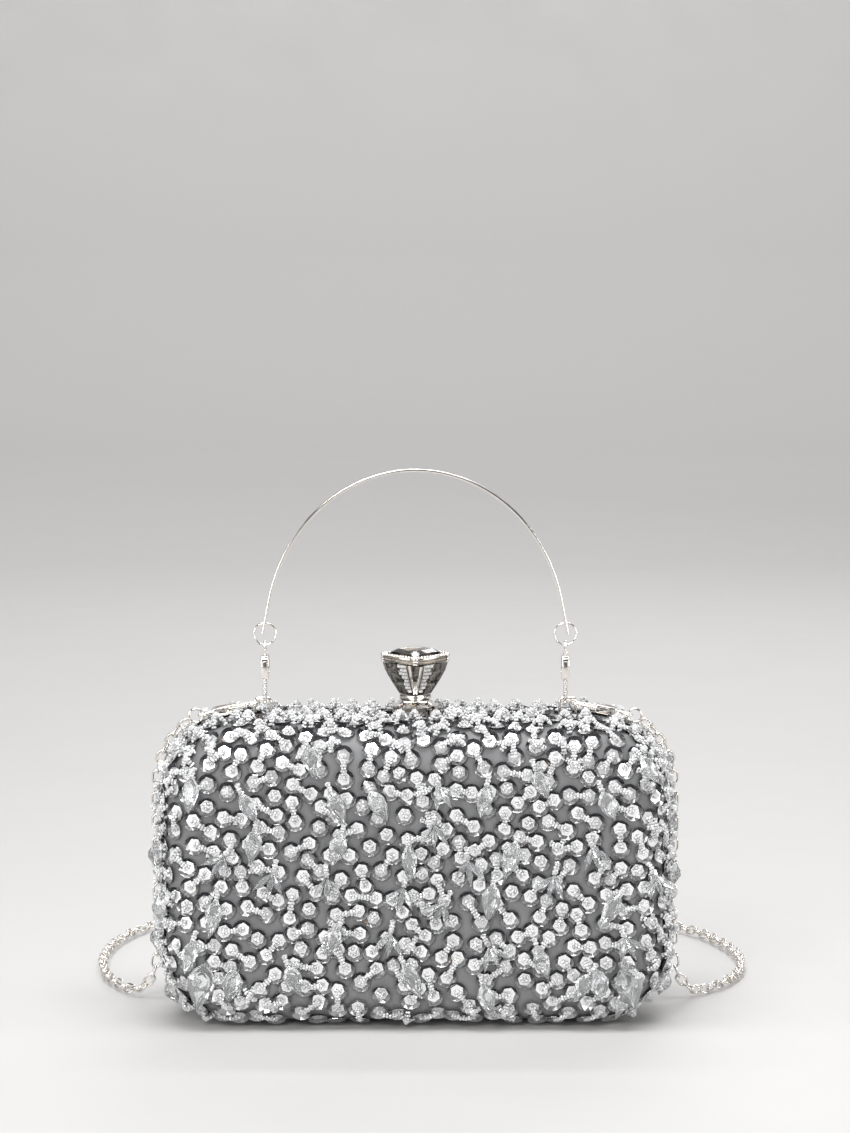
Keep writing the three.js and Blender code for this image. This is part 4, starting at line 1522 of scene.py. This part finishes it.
    def girdle(self):
        """The grooved band, its round of beads and the corner prongs."""
        low, high = cad_box("knob_girdle")
        tall = high[2] - low[2]
        profile = [(self.reach + inward, low[2] + tall * share) for inward, share in self.BANDS]
        form = turned_form(profile, self.SQUARENESS, 96, self.centre)
        band = form.piece("knob_girdle_band", "knob", "silver_metal", "toned_plating", smooth=40)
        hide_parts("knob_girdle")
        form = Form()
        rim = soft_square(self.reach - 0.72, high[2] - 0.5, self.SQUARENESS, 720, self.centre)
        run = np.cumsum([0] + [math.dist(a, b) for a, b in zip(rim, rim[1:] + rim[:1])])
        rim.append(rim[0])
        for i in range(self.RIM_BEADS):
            along = run[-1] * i / self.RIM_BEADS
            spot = [np.interp(along, run, [p[k] for p in rim]) for k in range(3)]
            corners, faces = ball(self.RIM_BEAD, 10, 6)
            form.add(corners + np.array(spot), faces)
        for quarter in range(4):
            self.prong(form, math.pi / 2 * quarter, low[2], high[2])
        form.piece("knob_girdle_beading", "knob", "silver_metal", "silver_plating", smooth=40)

    def prong(self, form, turn, low, high):
        """A stepped claw over each corner."""
        c, s = math.cos(turn), math.sin(turn)
        turned = np.array(((c, s, 0), (-s, c, 0), (0, 0, 1)))
        steps = ((-0.95, low + 0.35, 1.5, 0.42), (-0.8, low + 1.35, 1.7, 0.42), (-0.9, high - 0.75, 1.6, 0.8))
        for inward, height, wide, tall in steps:
            corners, faces = ball(1.0, 14, 8)
            corners = corners * np.array((0.85, wide, tall))
            reach = self.reach + inward
            spot = np.array((self.centre[0] + reach * c, self.centre[1] + reach * s, height))
            form.add(corners @ turned + spot, faces)

    def crystal(self):
        """A low faceted dome in the girdle, over a bright foil."""
        top = cad_box("knob_crystal")[1][2]
        seat = cad_box("knob_girdle")[1][2] - 0.9
        dome = top - seat
        # Reach, height, and whether the row's corners sit half a step round.
        levels = [
            (11.7, seat - 1.0, 0), (12.0, seat, 0), (9.9, seat + dome * 0.55, 1),
            (6.6, seat + dome * 0.9, 0), (3.0, top, 1),
        ]
        sides = self.CRYSTAL_SIDES
        rows = []
        for reach, height, odd in levels:
            row = soft_square(reach, height, self.SQUARENESS, 2 * sides, self.centre)
            rows.append(row[odd::2])
        faces = [tuple(range(sides))[::-1]]
        for level in range(len(levels) - 1):
            base, above = level * sides, (level + 1) * sides
            for i in range(sides):
                j = (i + 1) % sides
                odd_below, odd_above = levels[level][2], levels[level + 1][2]
                if odd_above >= odd_below:
                    faces += [(base + i, base + j, above + i), (base + j, above + j, above + i)]
                else:
                    faces += [(base + i, base + j, above + j), (base + i, above + j, above + i)]
        faces.append(tuple(range((len(levels) - 1) * sides, len(levels) * sides)))
        form = Form()
        form.add(np.array(rows).reshape(-1, 3), faces)
        piece = form.piece("knob_crystal_cut", "knob", "crystal", "clear_crystal")
        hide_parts("knob_crystal")
        foil = turned_form(
            [(reach, seat + height) for reach, height in self.FOIL], self.SQUARENESS, 24, self.centre
        )
        foil.piece("knob_crystal_foil", "knob", "silver_metal", "silver_plating")


class EVENINGBAG_OT_handle(bpy.types.Operator):
    """Bend the flat handle band and pierce its ends"""

    bl_idname = "evening_bag.handle"
    bl_label = "Handle band"

    THICKNESS = 1.2
    EDGE = 0.35
    SPRINGING = math.radians(12)  # below this the ends run straight
    HOLE = 1.1
    CLEARANCE = 0.3  # between the hole's top and the ring's wire
    DRILL = 90  # the drill reaches this far past the middle
    BENDS = 96
    SHARP = 35  # degrees

    def execute(self, context):
        low, high = cad_box("handle_band")
        rim = self.THICKNESS / 2
        centre = (RING_LOW[2] + RING_HIGH[2]) / 2
        half_span = CLASP_X - 0.5
        rise = high[2] - rim - centre
        line = []
        for i in range(self.BENDS + 1):
            turn = self.SPRINGING + (math.pi - 2 * self.SPRINGING) * i / self.BENDS
            line.append((half_span * math.cos(turn), centre + rise * math.sin(turn)))
        spread = half_span * math.tan(self.SPRINGING) / rise
        drop = line[0][1] - low[2]
        line.insert(0, (line[0][0] + spread * drop, low[2]))
        line.append((-line[0][0], low[2]))
        line = np.array(line)
        ahead = np.gradient(line, axis=0)
        ahead /= np.linalg.norm(ahead, axis=1)[:, None]
        section = self.section((high[1] - low[1]) / 2, rim)
        rows = [
            [(x + t * out[0], LEAN + w, z + t * out[1]) for w, t in section]
            for (x, z), out in zip(line, np.stack([ahead[:, 1], -ahead[:, 0]], axis=1))
        ]
        form = Form()
        form.add(np.array(rows).reshape(-1, 3), capped_faces(len(rows), len(section)))
        band = form.piece(
            "handle_band_polished", "handle", "silver_metal", "silver_plating", smooth=self.SHARP
        )
        self.pierce(context, band)
        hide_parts("handle_band")
        return {"FINISHED"}

    def section(self, half_width, half_thick):
        """The band's cross section: a flat strip with rounded edges."""
        points = []
        for quarter, (w, t) in enumerate(((1, 1), (-1, 1), (-1, -1), (1, -1))):
            for i in range(4):
                turn = math.pi / 2 * (quarter + i / 3)
                points.append((w * (half_width - self.EDGE) + self.EDGE * math.cos(turn),
                               t * (half_thick - self.EDGE) + self.EDGE * math.sin(turn)))
        return points

    def pierce(self, context, band):
        """Drills the hole that each jump ring runs through."""
        height = RING_HIGH[2] - (RING_HIGH[1] - RING_LOW[1]) + self.HOLE - self.CLEARANCE
        drill = Form()
        drill.add(*tube([(-self.DRILL, LEAN, height), (self.DRILL, LEAN, height)], self.HOLE, 24))
        cutter = bpy.data.objects.new("drill", drill.mesh("drill"))
        context.scene.collection.objects.link(cutter)
        cut = band.modifiers.new("holes", "BOOLEAN")
        cut.operation = "DIFFERENCE"
        cut.solver = "EXACT"
        cut.object = cutter
        context.view_layer.update()
        pierced = bpy.data.meshes.new_from_object(band.evaluated_get(context.evaluated_depsgraph_get()))
        band.modifiers.clear()
        band.data = pierced
        band.data.set_sharp_from_angle(angle=math.radians(self.SHARP))
        bpy.data.objects.remove(cutter)


class EVENINGBAG_OT_fittings(bpy.types.Operator):
    """Make the staples, clasps, jump rings and end rings on both sides"""

    bl_idname = "evening_bag.fittings"
    bl_label = "Staples, clasps and rings"

    SEAT = {0.0: 1.25, 0.5: 1.2, 0.75: 0.8}  # height above the frame and radius

    def execute(self, context):
        for word, side in SIDES.items():
            self.staple(word)
            self.clasp(f"{word}_handle_clasp", upright_clasp(side * CLASP_X),
                       (f"{word}_clasp", f"{word}_clasp_trigger", f"{word}_swivel"))
            self.clasp(f"{word}_chain_clasp", chain_clasp_place(side),
                       ("back_half", f"{word}_chain_trigger", "back_half"))
            self.ring(f"{word}_jump_ring", f"{word}_ring")
            self.ring(f"{word}_end_ring", "back_half")
        return {"FINISHED"}

    def metal(self, form, name, body):
        """Makes a polished piece that stands for the frame part of this name."""
        piece = form.piece(f"{name}_polished", body, "silver_metal", "silver_plating", smooth=45)
        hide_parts(name)

    def staple(self, word):
        """A bent wire with a small seat round each leg."""
        low, high = cad_box(f"{word}_staple")
        left, right = low[0] + STAPLE_WIRE, high[0] - STAPLE_WIRE
        bend, half_bend = 1.4, 6
        line = [(left, LEAN, low[2]), (left, LEAN, (low[2] + BAR_HEIGHT) / 2)]
        for hub, start in ((left + bend, math.pi), (right - bend, math.pi / 2)):
            for i in range(half_bend + 1):
                turn = start - math.pi / 2 * i / half_bend
                line.append((hub + bend * math.cos(turn), LEAN, BAR_HEIGHT - bend + bend * math.sin(turn)))
        line += [(right, LEAN, (low[2] + BAR_HEIGHT) / 2), (right, LEAN, low[2])]
        form = Form()
        form.add(*tube(line, STAPLE_WIRE, 14))
        for x in (left, right):
            seat = [(x, LEAN, FRAME_TOP + height) for height in self.SEAT]
            form.add(*tube(seat, np.array(list(self.SEAT.values())), 18))
        self.metal(form, f"{word}_staple", "back_half")

    def clasp(self, name, place, bodies):
        """One swivel clasp, its three parts each on its own body."""
        self.metal(clasp_body_form(place), f"{name}_body", bodies[0])
        self.metal(trigger_form(place), f"{name}_trigger", bodies[1])
        self.metal(swivel_form(place), f"{name}_swivel", bodies[2])

    def ring(self, name, body):
        """A round wire ring."""
        low, high = cad_box(name)
        wire = (high[1] - low[1]) / 2
        centre = (low + high) / 2
        radius = (high[2] - low[2]) / 2 - wire
        form = Form()
        form.add(*tube(ring_points(centre, radius, (1, 0, 0), (0, 0, 1), 56), wire, 12, closed=True))
        self.metal(form, name, body)


class EVENINGBAG_PT_panel(bpy.types.Panel):
    """Lists the bag's steps, sizes and colours"""

    bl_label = "Evening bag"
    bl_space_type = "VIEW_3D"
    bl_region_type = "UI"
    bl_category = "Evening bag"

    def draw(self, context):
        for step in STEPS:
            self.layout.operator(step.bl_idname)
        for group in (sizes_of(context), colours_of(context)):
            box = self.layout.box()
            for name in group.__annotations__:
                box.prop(group, name)


STEPS = (
    EVENINGBAG_OT_finishes,
    EVENINGBAG_OT_stage,
    EVENINGBAG_OT_chain,
    EVENINGBAG_OT_covers,
    EVENINGBAG_OT_linings,
    EVENINGBAG_OT_beading,
    EVENINGBAG_OT_frames,
    EVENINGBAG_OT_knob,
    EVENINGBAG_OT_handle,
    EVENINGBAG_OT_fittings,
)
CLASSES = (BagSizes, BagColours, *STEPS, EVENINGBAG_PT_panel)


def register():
    """Makes the steps, the panel and the settings known."""
    for cls in CLASSES:
        bpy.utils.register_class(cls)
    bpy.types.Scene.evening_bag_sizes = PointerProperty(type=BagSizes)
    bpy.types.Scene.evening_bag_colours = PointerProperty(type=BagColours)


def unregister():
    """Takes them away again."""
    del bpy.types.Scene.evening_bag_colours
    del bpy.types.Scene.evening_bag_sizes
    for cls in reversed(CLASSES):
        bpy.utils.unregister_class(cls)


def plain(box):
    """A pair of corners as plain lists."""
    return [[float(v) for v in corner] for corner in box]


def main():
    """Runs every step in order."""
    register()
    for step in STEPS:
        group, name = step.bl_idname.split(".")
        getattr(getattr(bpy.ops, group), name)()


if __name__ == "__main__":
    main()
